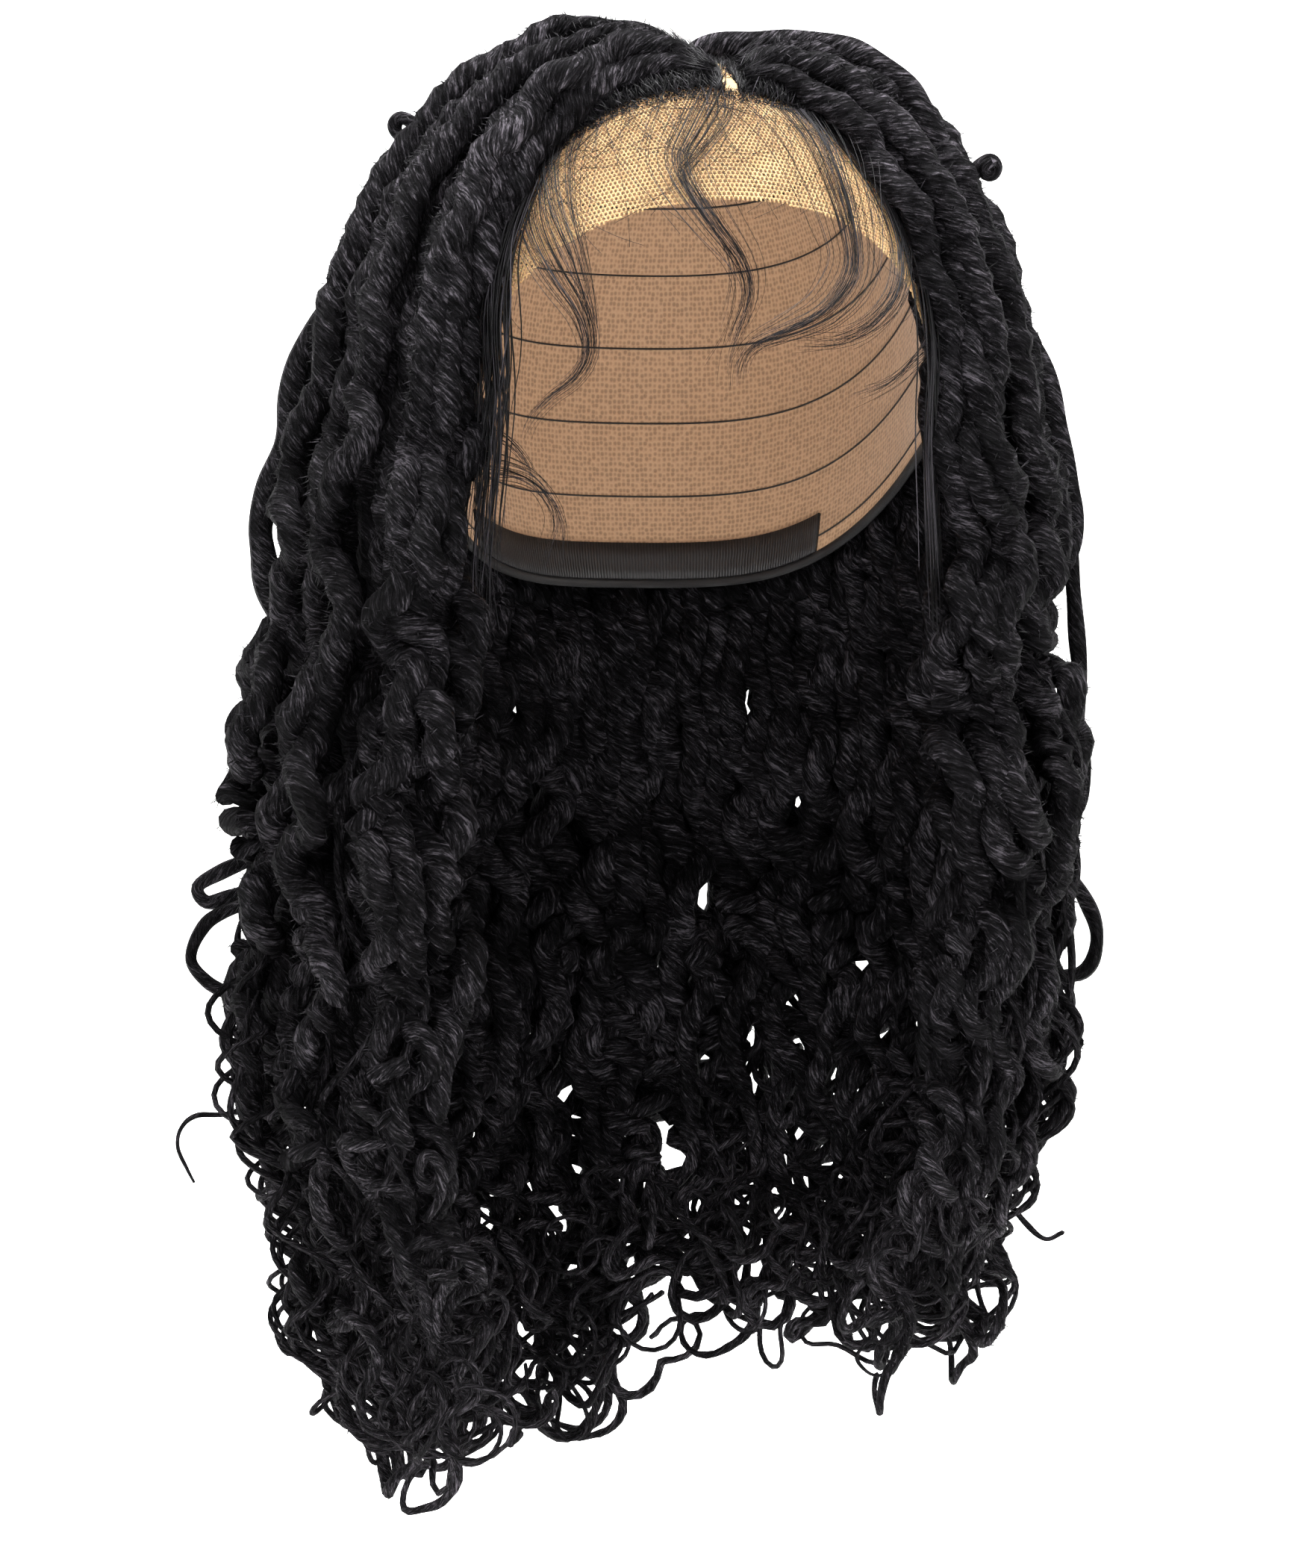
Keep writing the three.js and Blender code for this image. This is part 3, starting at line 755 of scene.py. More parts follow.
@dataclass
class Loc:
    """One loc: its root, the strip of space that it hangs in, its length and its thickness.

    The way and the pull are unit directions from the head's middle: to its root, and to the point
    that its curve over the head is drawn towards. Fall is the azimuth at which it hangs, landing
    the drop at which it starts to hang, and level how many layers out it lies.
    """

    side: Side
    fall: float
    level: float
    way: Array
    pull: Array
    landing: float
    seed: int
    tip: float
    half_cell: float
    lead: int
    radius: float = 5.1
    root_radius: float = 1.8
    rise: float = 0.68
    full_by: float = 0.12

    @property
    def offset(self) -> float:
        """How far its middle hangs outside the head form."""
        return BASE_OFFSET + self.level * LAYER_STEP

    @property
    def start(self) -> float:
        """The height at which it starts to hang."""
        return float(HEAD.at(self.fall, self.landing, self.offset)[2])

    def dome(self, share: Array) -> Array:
        """Its way over the head: directions on a curve of three points, on a shell that rises.

        Args:
            share: 0 at the root, 1 where it starts to hang.

        Returns:
            The points, one for each share.
        """
        s = share[:, None]
        end = HEAD.direction(self.fall, self.landing)
        heading = unit((1 - s) ** 2 * self.way + 2 * s * (1 - s) * self.pull + s**2 * end)
        under = mix(CAP_WALL + CLEARANCE, self.offset - SEAT, share**self.rise)
        thick = mix(self.root_radius, SEAT, smooth(share, 0, 0.25))
        points = HEAD.shell(heading, under + thick)
        points[:, 0] *= self.side.value
        return points

    def hang(self, z: Array, sideways: Array) -> Array:
        """Its hanging points: round the head at its azimuth, out with the flare and the crinkle.

        Args:
            z: the points' heights.
            sideways: how far each is moved round the head.

        Returns:
            The points.
        """
        habit = HABITS[self.side]
        drop = self.start - z
        landed = math.sqrt(math.sin(math.radians(self.landing)))
        tuck = mix(landed, 1, smooth(drop, 0, FLARE_SPAN / 3))
        back_share = max(0.0, (BACK_FALL - self.fall) / (BACK_FALL - FRONT_FALL))
        azimuth = self.fall + habit.swing * back_share**2 * smooth(drop, 0, FLARE_SPAN)
        steps = -(HEAD.crown_height + z) / BEND
        crinkle = np.sin(1.9 * steps + 4 * np.radians(azimuth))
        flare = habit.flare * mix(0.35, 1, self.level / 2)
        out = flare * np.sin(np.pi * drop / FLARE_SPAN) + CRINKLE * crinkle * smooth(steps, 0, 1)
        out = out - habit.tuck * smooth(drop, *TUCK_DROPS)
        out = out + habit.waist * np.exp(-(((drop - WAIST_DROP) / WAIST_SPREAD) ** 2))
        wide = (HEAD.half_width + self.offset) * tuck + out
        deep = (HEAD.half_depth + self.offset) * tuck + out
        a = np.radians(azimuth) + sideways / wide
        return np.stack([self.side.value * wide * np.sin(a), -deep * np.cos(a), z], axis=-1)

    def path(self, count: int) -> tuple[Array, Array]:
        """The loc's line and its radius at each point.

        Sideways it follows a wave. A helix of crimps with a wandering pitch lies on that, three
        pinches make it thinner and wind it once more, and its end runs on in a curl that tightens.

        Args:
            count: how many points.

        Returns:
            Points, (count, 3), and radii, (count,).
        """
        rng = np.random.default_rng(self.seed + 1000)
        over = self.dome(np.linspace(0, 1, 60) ** 1.3)
        z = np.linspace(self.start, self.tip, 150)[1:]
        u = (-HEAD.crown_height - z) / BEND - 0.5
        amp = np.maximum(self.half_cell - self.thin(z), 0) * smooth(self.start - z, 0, BEND)
        slip = 0.55 * np.sin(u / 2.3 + rng.uniform(0, FULL_TURN))
        under = self.hang(z, self.lead * amp * np.cos(np.pi * u + slip))
        line = even(np.vstack([over, under, self.curl(under, rng)]), count)
        run = np.linspace(0, 1, count)
        hung = smooth(-line[:, 2], -self.start + 10, -self.start + 90)
        low = smooth(-line[:, 2], 260, 400)
        pitch = rng.uniform(*CRIMP_PITCH)
        length = run_of(line)[-1]
        s = run * length
        wander = 1.6 * np.sin(s / rng.uniform(30, 50) + rng.uniform(0, 6))
        phase = 2 * np.pi * s / pitch + wander + rng.uniform(0, FULL_TURN)
        hand = rng.choice([-1, 1])
        tangent = unit(np.gradient(line, axis=0))
        out = line * [1, 1, 0]
        out = unit(out - np.sum(out * tangent, axis=1, keepdims=True) * tangent)
        beside = np.cross(tangent, out)
        reach = 1.7 + 2.3 * hung + 1.2 * low
        reach = reach * (0.75 + 0.45 * np.sin(s / 27 + rng.uniform(0, 6))) * smooth(run, 0, 0.08)
        pinch = np.zeros(count)
        for knot in rng.uniform(0.42, 0.85, 3) * length:
            phase = phase + 2 * np.pi * smooth(s, knot - KNOT_REACH, knot + KNOT_REACH)
            pinch = np.maximum(pinch, np.exp(-(((s - knot) / KNOT_REACH) ** 2)))
        reach = reach + 1.6 * pinch
        line = coiled(line, beside, out, reach, phase, 0.75 * hand)
        radius = np.where(run < 0.3, self.radius, self.thin(line[:, 2]))
        radius = mix(self.root_radius, radius, smooth(run, 0, self.full_by))
        radius = radius * mix(0.42, 1.0, smooth(length - s, 0, 70)) * (1 - 0.22 * pinch)
        return line, radius

    def thin(self, z: Array) -> Array:
        """Its radius by height: full to the middle of its hanging length, and thin at the tip."""
        share = (self.start - z) / (self.start - self.tip)
        return mix(self.radius, TIP_RADIUS, smooth(share, 0.45, 1))

    def curl(self, under: Array, rng: np.random.Generator) -> Array:
        """Its end: a line in a plane, never turned outwards, whose bend tightens.

        Args:
            under: the points that it runs on from.
            rng: where its length, its last radius and its plane are drawn from.

        Returns:
            The points beyond the last of those.
        """
        length = rng.uniform(*CURL_LENGTH)
        s = np.linspace(0, length, 40)[1:]
        bend = np.cumsum(1 / mix(CURL_RADIUS, rng.uniform(*CURL_END_RADIUS), s / length)) * (s[1] - s[0])
        down = unit(under[-1] - under[-4])
        spin = rng.uniform(0, FULL_TURN)
        plane = np.array([math.cos(spin), math.sin(spin), 0.15])
        out = unit(under[-1] * [1, 1, 0])
        plane = plane - 1.7 * max(0.0, float(np.dot(plane, out))) * out
        plane = unit(plane - np.dot(plane, down) * down)
        step = (s[1] - s[0]) * (np.cos(bend)[:, None] * down + np.sin(bend)[:, None] * plane)
        return under[-1] + np.cumsum(step, axis=0)


LocSet = tuple[Array, Array]
Seen = list[LocSet]


@dataclass(frozen=True)
class Weave:
    """One layer's locs: rings along and corners round each, and azimuths of the first and the last."""

    rings: int
    sides: int
    first: float
    last: float


WEAVES = {
    Layer.INNER: Weave(130, 8, 90, 174),
    Layer.MIDDLE: Weave(170, 9, 78, 174),
    Layer.OUTER: Weave(200, 10, 64, 172),
}
PER_SIDE = 9
PARTING_OFFSET = 5.0
PARTING_WIDTH = 6.0
PARTING_LENGTH = 94.0
PARTING_FRONT = HEAD.centre_drop - 4 - math.degrees(4 * CLEARANCE / HEAD.crown_height)


def parting_way(distance: Array | float, across: Array | float) -> Array:
    """The unit direction of a point of the parting, by its distance behind the root band."""
    y = (distance - HEAD.half_depth * math.sin(math.radians(PARTING_FRONT))) / HEAD.half_depth
    x = (PARTING_OFFSET + across) / HEAD.half_width
    return np.stack([x, y, np.sqrt(np.maximum(1 - x * x - y * y, 0))], axis=-1)


@dataclass
class LocHair:
    """All the locs of the wig, those that stand for the frame's and those that fill between them.

    The front level is how many layers out the foremost loc hangs, and the spread is by how many
    millimetres the locs of a side differ in length.
    """

    front_level: float = 0.4
    spread: float = 46.0

    def root(self, layer: Layer, share: float, fall: float, side: Side) -> tuple[Array, Array, float]:
        """Where a loc is rooted, which way it is pulled and the drop at which it lands.

        Args:
            layer: the layer that it hangs in.
            share: 0 for the foremost loc of a side, 1 for the hindmost.
            fall: the azimuth at which it hangs.
            side: the wearer's side.

        Returns:
            Two unit directions and a drop in degrees.
        """
        if layer is Layer.INNER:
            drop = float(HEAD.rim_drop(np.array(fall))) - 15
            return HEAD.direction(fall, drop), HEAD.direction(fall, drop + 7), drop + 14
        if layer is Layer.MIDDLE:
            way = HEAD.direction(mix(72, 174, share), mix(40, 48, share))
            return way, HEAD.direction(mix(77, 174, share), 66), 90.0
        half = 2.6
        beside = PARTING_WIDTH / 2 + 2 * CLEARANCE + half
        way = parting_way(half + (PARTING_LENGTH - 2 * half) * share, side.value * beside)
        way[0] *= side.value
        return way, HEAD.direction(mix(70, 142, share), mix(36, 42, share)), 90.0

    def frame_loc(
        self, layer: Layer, side: Side, index: float, level_shift: float = 0.0, extra: int = 0
    ) -> Loc:
        """A loc as the frame's source lays it out, or one between two of those.

        Args:
            layer: the layer that it hangs in.
            side: the wearer's side.
            index: its place from front to back, whole for the frame's own locs.
            level_shift: how many layers further out it lies.
            extra: 0 for the frame's own locs; others look different for each number.

        Returns:
            The loc.
        """
        share = index / (PER_SIDE - 1)
        weave = WEAVES[layer]
        fall = mix(weave.first, weave.last, share)
        level = min(layer.value, self.front_level + index) + level_shift
        seed = 1 + index + 20 * layer.value + (100 if side is Side.LEFT else 0) + 1000 * extra
        way, pull, landing = self.root(layer, share, fall, side)
        pitch = math.radians(weave.last - weave.first) / (PER_SIDE - 1)
        offset = BASE_OFFSET + LAYER_STEP * level
        return Loc(
            side=side,
            fall=fall,
            level=level,
            way=way,
            pull=pull,
            landing=landing,
            seed=int(seed * 2),
            tip=-HEAD.crown_height - HABITS[side].length + self.spread * chance(seed) + 18,
            half_cell=(pitch * (HEAD.half_width + offset) - 2 * CLEARANCE) / 2,
            lead=-1 if chance(seed + 7) < 0.5 else 1,
        )

    def lumped(self, locs: list[Loc], rings: int, sides: int) -> LocSet:
        """Lines and radii of several locs, with the turns of the wrapping as lumps.

        A radius is that of the line, times 1 plus four sines: one that swells the loc every 11 mm
        or so, one that winds round it once, one that winds round it twice and one of three lobes.

        Args:
            locs: the locs.
            rings: points along each.
            sides: corners round each.

        Returns:
            Lines, (locs, rings, 3), and radii, (locs, rings, sides).
        """
        made = [loc.path(rings) for loc in locs]
        lines, radii = (np.stack(part) for part in zip(*made))
        rng = np.random.default_rng(77)
        step = np.linalg.norm(np.diff(lines, axis=1), axis=2).mean(axis=1)
        s = np.arange(rings)[None, :, None] * step[:, None, None]
        angle = (2 * np.pi * np.arange(sides) / sides)[None, None, :]
        a, b, c = (rng.uniform(0, FULL_TURN, (len(locs), 1, 1)) for _ in range(3))
        swell = 0.09 * np.sin(2 * np.pi * s / 11.5 + a + 2.2 * np.sin(s / 31 + b))
        swell = swell + 0.08 * np.sin(angle + 2 * np.pi * s / 17 + c)
        swell = swell + 0.05 * np.sin(2 * angle - 2 * np.pi * s / 9.5 + a)
        swell = swell + 0.03 * np.sin(3 * angle + s / 2.1 + b)
        return lines, radii[:, :, None] * (1 + swell)

    def build(self, material: Material) -> Seen:
        """Makes one piece for each layer and side, and the locs between them.

        Args:
            material: what they are made of.

        Returns:
            The lines and radii of the locs that lie outermost, for the fuzz on them.
        """
        seen = []
        for side in Side:
            for layer in Layer:
                locs = [self.frame_loc(layer, side, k) for k in range(PER_SIDE)]
                nodes = tuple(f"loc_{layer.word}_{side.word}_{k + 1}" for k in range(PER_SIDE))
                made = self.make(layer.word, side, locs, layer, material, nodes)
                if layer is Layer.OUTER:
                    seen.append(made)
            outer, middle = self.between(side)
            seen.append(self.make("between", side, outer, Layer.OUTER, material))
            self.make("behind", side, middle, Layer.INNER, material)
            self.make("nape", side, self.nape(side), Layer.INNER, material)
            seen.append(self.make("front", side, self.front(side), Layer.OUTER, material))
            seen.append(self.make("crown", side, self.crown(side), Layer.OUTER, material))
        return seen

    def make(
        self, word: str, side: Side, locs: list[Loc], like: Layer, material: Material, nodes: tuple = ()
    ) -> LocSet:
        """Makes one piece of several locs.

        Args:
            word: the middle of the piece's name.
            side: the wearer's side.
            locs: the locs.
            like: the layer whose rings and corners they have.
            material: what they are made of.
            nodes: the frame's nodes that they stand for.

        Returns:
            The locs' lines and radii.
        """
        weave = WEAVES[like]
        lines, radii = self.lumped(locs, weave.rings, weave.sides)
        surface = Surface()
        shifts = np.array([0.37 * (loc.seed % 997) for loc in locs])
        tubes(surface, lines, radii, weave.sides, shifts)
        surface.piece(f"locs_{word}_{side.word}", material, nodes)
        return lines, radii

    def between(self, side: Side) -> tuple[list[Loc], list[Loc]]:
        """The locs between the outer ones and between the middle ones, a little further in."""
        outer, middle = [], []
        for k in range(PER_SIDE - 1):
            made = self.frame_loc(Layer.OUTER, side, k + 0.5, -0.45, 1)
            way = unit(mix(made.way, made.pull, mix(14, 20, k / 8) / 45))
            outer.append(replace(made, way=way, root_radius=3.0))
            made = self.frame_loc(Layer.MIDDLE, side, k + 0.5, -0.35, 2)
            middle.append(replace(made, root_radius=3.0))
        return outer, middle

    def nape(self, side: Side) -> list[Loc]:
        """The locs that close the gaps low at the back: between the inner ones and in the middle."""
        locs = [self.frame_loc(Layer.INNER, side, k + 0.5, 0.3, 3) for k in range(PER_SIDE - 1)]
        for step, level in enumerate((-0.1, 0.8, 1.7)):
            made = self.frame_loc(Layer.INNER, side, 8 + step / 7, level, 4 + step)
            locs.append(replace(made, fall=178.5))
        return [replace(made, radius=6.4) for made in locs]

    def crown(self, side: Side) -> list[Loc]:
        """The locs that cover the crown behind the parting's end and the middle of the back."""
        laid = [
            ((178, 39), (177, 60), 178.5, 1.2),
            ((170, 37), (171, 58), 175, 1.9),
            ((152, 38), (160, 58), 168, 1.5),
        ]
        locs = []
        for step, (root, pull, fall, level) in enumerate(laid):
            made = self.frame_loc(Layer.OUTER, side, 8.0, 0.0, 12 + step)
            way, pull = HEAD.direction(*root), HEAD.direction(*pull)
            locs.append(replace(made, way=way, pull=pull, fall=fall, level=level, root_radius=3.2))
        return locs

    def front(self, side: Side) -> list[Loc]:
        """The locs that lie right along the hairline, from the parting to the temple."""
        first = ((46, 29), 62, -0.15) if side is Side.LEFT else ((58, 30), 66, -0.15)
        laid = [first, ((58, 27), 66, 0.75), ((54, 28), 69, -0.5), ((62, 31), 74, -0.35)]
        locs = []
        for step, (pull, fall, level) in enumerate(laid):
            made = self.frame_loc(Layer.OUTER, side, 0.0, 0.0, 8 + step)
            way = unit(made.way + 0.03 * np.array([0, -3.4 + 1.9 * step, 0]))
            made = replace(made, way=way, pull=HEAD.direction(*pull), fall=fall, level=level)
            locs.append(replace(made, root_radius=2.8, full_by=0.07, tip=made.tip + 12 * (step % 2)))
        return locs


@dataclass
@dataclass
class CurledEnds:
    """Thin strings of fibre that leave the locs low down and end in open curls.

    Every fourth is loose: thinner and shorter, it hangs clear of the rest.
    """

    count: int = 64
    rings: int = 84
    sides: int = 5

    def build(self, hair: LocHair, material: Material) -> None:
        """Makes one piece a side: helices that widen and loosen as they go down.

        Args:
            hair: the locs that they leave.
            material: what they are made of.
        """
        for side in Side:
            rng = np.random.default_rng(11 if side is Side.LEFT else 12)
            lines, radii = [], []
            for k in range(self.count):
                layer = [Layer.OUTER, Layer.MIDDLE, Layer.OUTER][k % 3]
                host = hair.frame_loc(layer, side, rng.uniform(0, 7.6), rng.uniform(-0.65, 0.15), 3 + k)
                loose = k % 4 == 0
                if loose:
                    reach_out = rng.uniform(0.0, 0.3) if side is Side.RIGHT else rng.uniform(-0.55, -0.2)
                    host = hair.frame_loc(Layer.OUTER, side, rng.uniform(1.6, 4.6), reach_out, 3 + k)
                    host.tip += 18
                host.tip += rng.uniform(-6, 22)
                top = host.tip + (rng.uniform(80, 130) if loose else rng.uniform(110, 200))
                z = np.linspace(top, host.tip, 90)
                beside = rng.uniform(-3, 3) + 5 * np.sin(z / rng.uniform(16, 28) + rng.uniform(0, 6))
                line = host.hang(z, beside)
                line = even(np.vstack([line, host.curl(line, rng)]), self.rings)
                s = np.linspace(0, 1, self.rings)
                out = unit(line * [1, 1, 0])
                beside = unit(np.cross(unit(np.gradient(line, axis=0)), out))
                turns = rng.uniform(3.5, 6.5)
                phase = 2 * np.pi * turns * s**1.15 + rng.uniform(0, FULL_TURN)
                widest = mix(2.0, rng.uniform(5, 9), smooth(s, 0.1, 0.4 if loose else 0.75))
                reach = widest * mix(1, 0.35, smooth(s, 0.75, 1))
                lines.append(coiled(line, beside, out, reach, phase, rng.choice([-1, 1])))
                thick = rng.uniform(1.7, 2.3) * (0.65 if loose else 1)
                radii.append(mix(thick, 0.75, s**0.8) * mix(0.25, 1, smooth(s, 0, 0.07)))
            surface = Surface()
            tubes(surface, np.stack(lines), np.stack(radii), self.sides, np.arange(self.count) * 0.21)
            surface.piece(f"curled_ends_{side.word}", material)


@dataclass
class Fuzz:
    """Fibre ends that stand off the outermost locs and soften their outlines."""

    count: int = 16500
    reach: tuple[float, float] = (1.3, 4.6)
    root_radius: float = 0.17
    scatter: float = 0.95

    def build(self, seen: Seen, material: Material) -> None:
        """Makes one piece a side: spikes on the faces that look away from the head.

        A spike's angle round its loc is that of the way out from the head, plus a normal scatter.
        It leans the way of the wrapping.

        Args:
            seen: lines and radii of the outermost locs.
            material: what the fuzz is made of.
        """
        lines, radii = (np.concatenate(part) for part in zip(*seen))
        tangents, first, second = transported(lines)
        low = np.minimum(lines[..., 2], -HEAD.crown_height)
        away = unit(lines - np.stack([0 * low, 0 * low + 15, low], axis=-1))
        facing = np.arctan2(np.sum(away * second, axis=-1), np.sum(away * first, axis=-1))
        count = self.count
        for side in Side:
            rng = np.random.default_rng(31 if side is Side.LEFT else 32)
            mine = np.flatnonzero(np.sign(lines[:, 60, 0]) == side.value)
            loc = rng.choice(mine, count)
            at = loc, rng.integers(4, lines.shape[1] - 14, count)
            angle = facing[at] + rng.normal(0, self.scatter, count)
            out = spoke(first[at], second[at], angle)
            around = spoke(second[at], -first[at], angle)
            root = lines[at] + out * (radii[at].mean(axis=1) * 0.93)[:, None]
            root = root + tangents[at] * column(rng, -1.2, 1.2, count)
            lean = rng.normal(0, 0.45, (count, 1))
            way = out * column(rng, 0.6, 1.7, count) + around * (0.7 + lean) + tangents[at] * (0.4 + lean)
            tip = root + unit(way) * column(rng, *self.reach, count)
            surface = Surface()
            spikes(surface, root, tip, self.root_radius, rng.uniform(0, SHIFT, count))
            surface.piece(f"fuzz_{side.word}", material)


@dataclass
class StrayLocs:
    """The thin locs that loop out of the sides, and the coiled ends that stand up here and there.

    The routes are rows of a name that says where it is for the wearer, the radius at the start, the
    radius at the end, and the points that it passes, in millimetres.
    """

    rings: int = 60
    sides: int = 8
    routes: tuple = (
        ("right_loop_upper", 2.9, 2.6, (-108, 43, -180), (-114, 45, -190), (-124, 47, -196),
            (-134, 48, -201), (-137, 48, -208), (-129, 47, -215), (-123, 47, -222), (-121, 46, -226),
            (-116, 44, -227), (-110, 43, -234)),
        ("right_loop_middle", 2.5, 2.2, (-113, 54, -239), (-128, 56, -247), (-139, 58, -252),
            (-147, 59, -257), (-144, 59, -262), (-136, 57, -260), (-128, 55, -258), (-115, 54, -263)),
        ("right_loop_lower", 2.2, 1.9, (-120, 45, -258), (-140, 48, -265), (-147, 49, -271),
            (-150, 50, -280), (-145, 49, -287), (-138, 48, -291), (-130, 47, -295), (-116, 45, -308)),
        ("right_twig", 1.2, 0.5, (-118, 34, -320), (-138, 37, -328), (-149, 39, -329), (-154, 40, -333),
            (-155, 40, -339), (-152, 40, -346), (-150, 39, -350)),
        ("right_crown_end", 2.8, 2.0, (-66, 5, -32), (-78, 6, -23), (-84, 7, -18), (-88, 8, -16),
            (-90, 8, -18), (-89, 9, -21), (-86, 9, -22), (-85, 9, -20)),
        ("left_crown_end", 2.7, 2.0, (78, -18, -46), (85, -22, -38), (89, -24, -32), (92, -25, -29),
            (94, -25, -29), (95, -25, -31), (94, -25, -33), (92, -25, -33), (91, -27, -31), (93, -28, -30)),
        ("left_crown_loc", 4.6, 4.2, (-1, -13, 0), (3, -15, 4), (13, -17, 6), (27, -19, 6.5), (43, -21, 6),
            (56, -23, 1), (67, -25, -8), (76, -27, -24)),
        ("right_loc", 4.6, 4.2, (-92, 24, -60), (-108, 30, -76), (-116, 34, -88), (-119, 35, -101),
            (-121, 36, -116), (-126, 37, -130), (-129, 38, -142), (-128, 38, -152), (-126, 38, -163),
            (-120, 38, -176)),
        ("right_front_coil", 3.4, 1.5, (-94, -20, -306), (-94, -34, -318), (-90, -44, -326),
            (-84, -46, -330), (-81, -47, -338), (-86, -47, -345), (-90, -46, -341), (-88, -50, -335),
            (-84, -51, -339), (-84, -48, -348), (-88, -46, -355)),
        ("left_loc_upper", 4.6, 4.0, (98, 14, -60), (113, 14, -78), (120, 14, -89), (124, 14, -99),
            (126, 14, -111), (129, 13, -126), (131, 13, -138), (129, 14, -150), (122, 16, -162)),
        ("left_loc_lower", 3.0, 2.6, (116, 17, -112), (129, 16, -139), (132, 15, -164), (134, 15, -188),
            (133, 15, -206), (135, 14, -217), (134, 15, -230), (128, 16, -237), (116, 17, -244)),
        ("left_loop", 2.6, 2.2, (112, 18, -238), (129, 16, -252), (138, 14, -266), (139, 14, -278),
            (135, 15, -285), (124, 17, -287), (112, 18, -295)),
        ("left_twig", 1.5, 0.7, (96, 11, -350), (106, 10, -356), (114, 8, -365), (120, 7, -370),
            (126, 6, -368)),
        ("left_low_loop", 0.9, 0.5, (68, -30, -380), (61, -43, -391), (56, -44, -396), (50, -43, -395),
            (46, -43, -400), (50, -43, -405), (55, -44, -405), (56, -44, -401)),
    )

    def build(self, material: Material) -> None:
        """Makes one piece: a tube along a smooth curve through each route, with a small wobble."""
        rng = np.random.default_rng(51)
        count = len(self.routes)
        share = np.linspace(0, 1, self.rings)
        curves = [through(np.array(points), 240) for _, _, _, *points in self.routes]
        lines = np.stack([even(curve, self.rings) for curve in curves])
        radii = np.stack([mix(first, last, share) for _, first, last, *_ in self.routes])
        wobble = np.sin(share[None] * column(rng, 18, 30, count) + column(rng, 0, 6, count))
        lines[..., 1] += 0.5 * wobble
        surface = Surface()
        tubes(surface, lines, radii * (1 + 0.1 * wobble), self.sides, np.arange(count) * 0.61)
        surface.piece("stray_locs", material)


@dataclass
class RootTufts:
    """Short loose hairs that cover each outermost loc where it leaves the parting or the hairline."""

    hairs: int = 110
    root_radius: float = 0.22

    def build(self, seen: Seen, material: Material) -> None:
        """Makes one piece: spikes from round each root to the loc's face a few rings further on.

        Args:
            seen: lines and radii of the outermost locs.
            material: what the tufts are made of.
        """
        lines = np.concatenate([pair[0] for pair in seen])
        tangents, first, second = transported(lines)
        rng = np.random.default_rng(61)
        loc = np.repeat(np.arange(len(lines)), self.hairs)
        count = len(loc)
        angle = rng.uniform(0, 2 * np.pi, count)
        root = lines[loc, 0] - tangents[loc, 0] * column(rng, 0, 2.4, count)
        root = root + spoke(first[loc, 0], second[loc, 0], angle) * column(rng, 0.3, 2.6, count)
        at = loc, rng.integers(2, 6, count)
        tip = lines[at] + spoke(first[at], second[at], angle) * column(rng, 3.4, 6.0, count)
        surface = Surface()
        spikes(surface, root, tip, self.root_radius, rng.uniform(0, SHIFT, count))
        surface.piece("root_tufts", material)


# Loose hair and lace


@dataclass
class Swoop:
    """One bundle of baby hair, laid on the face in a curve.

    The spreads are how far its hairs lie from its middle at the root, half-way and at the end. The
    line is the azimuths and drops of the points that its middle passes.
    """

    where: str
    hairs: int
    root_spread: float
    waist: float
    end_spread: float
    line: list[tuple[float, float]]

    def lines(self, count: int, seed: int) -> Array:
        """The bundle's hairs: its curve moved sideways by a spread that narrows and opens again.

        Args:
            count: points of a hair.
            seed: a number that is the bundle's own.

        Returns:
            (hairs, count, 3) points.
        """
        rng = np.random.default_rng(seed)
        hairs = self.hairs
        azimuth, drop = through(np.array(self.line), count).T
        t = np.linspace(0, 1, count)
        centre = HEAD.at(azimuth, drop, 2.4)
        normal = unit(HEAD.at(azimuth, drop, 4.0) - centre)
        beside = np.cross(unit(np.gradient(centre, axis=0)), normal)
        a, b, c = (rng.normal(0, 0.5, (hairs, 1)) for _ in range(3))
        spread = a * self.root_spread * (1 - t) ** 1.7 + b * self.waist + c * self.end_spread * t**2.2
        high = column(rng, 0.1, 0.5, hairs)
        ripple = high * np.sin(column(rng, 8, 16, hairs) * t + column(rng, 0, 6, hairs))
        lift = np.abs(rng.normal(0, 0.45, (hairs, 1))) + 0.4 * t
        made = centre + (spread + ripple)[..., None] * beside + lift[..., None] * normal
        run = rng.uniform(0.72, 1.0, hairs)[:, None] * np.linspace(0, count - 1, count)[None]
        low = np.minimum(run.astype(int), count - 2)
        rows = np.arange(hairs)[:, None]
        return mix(made[rows, low], made[rows, low + 1], (run - low)[..., None])


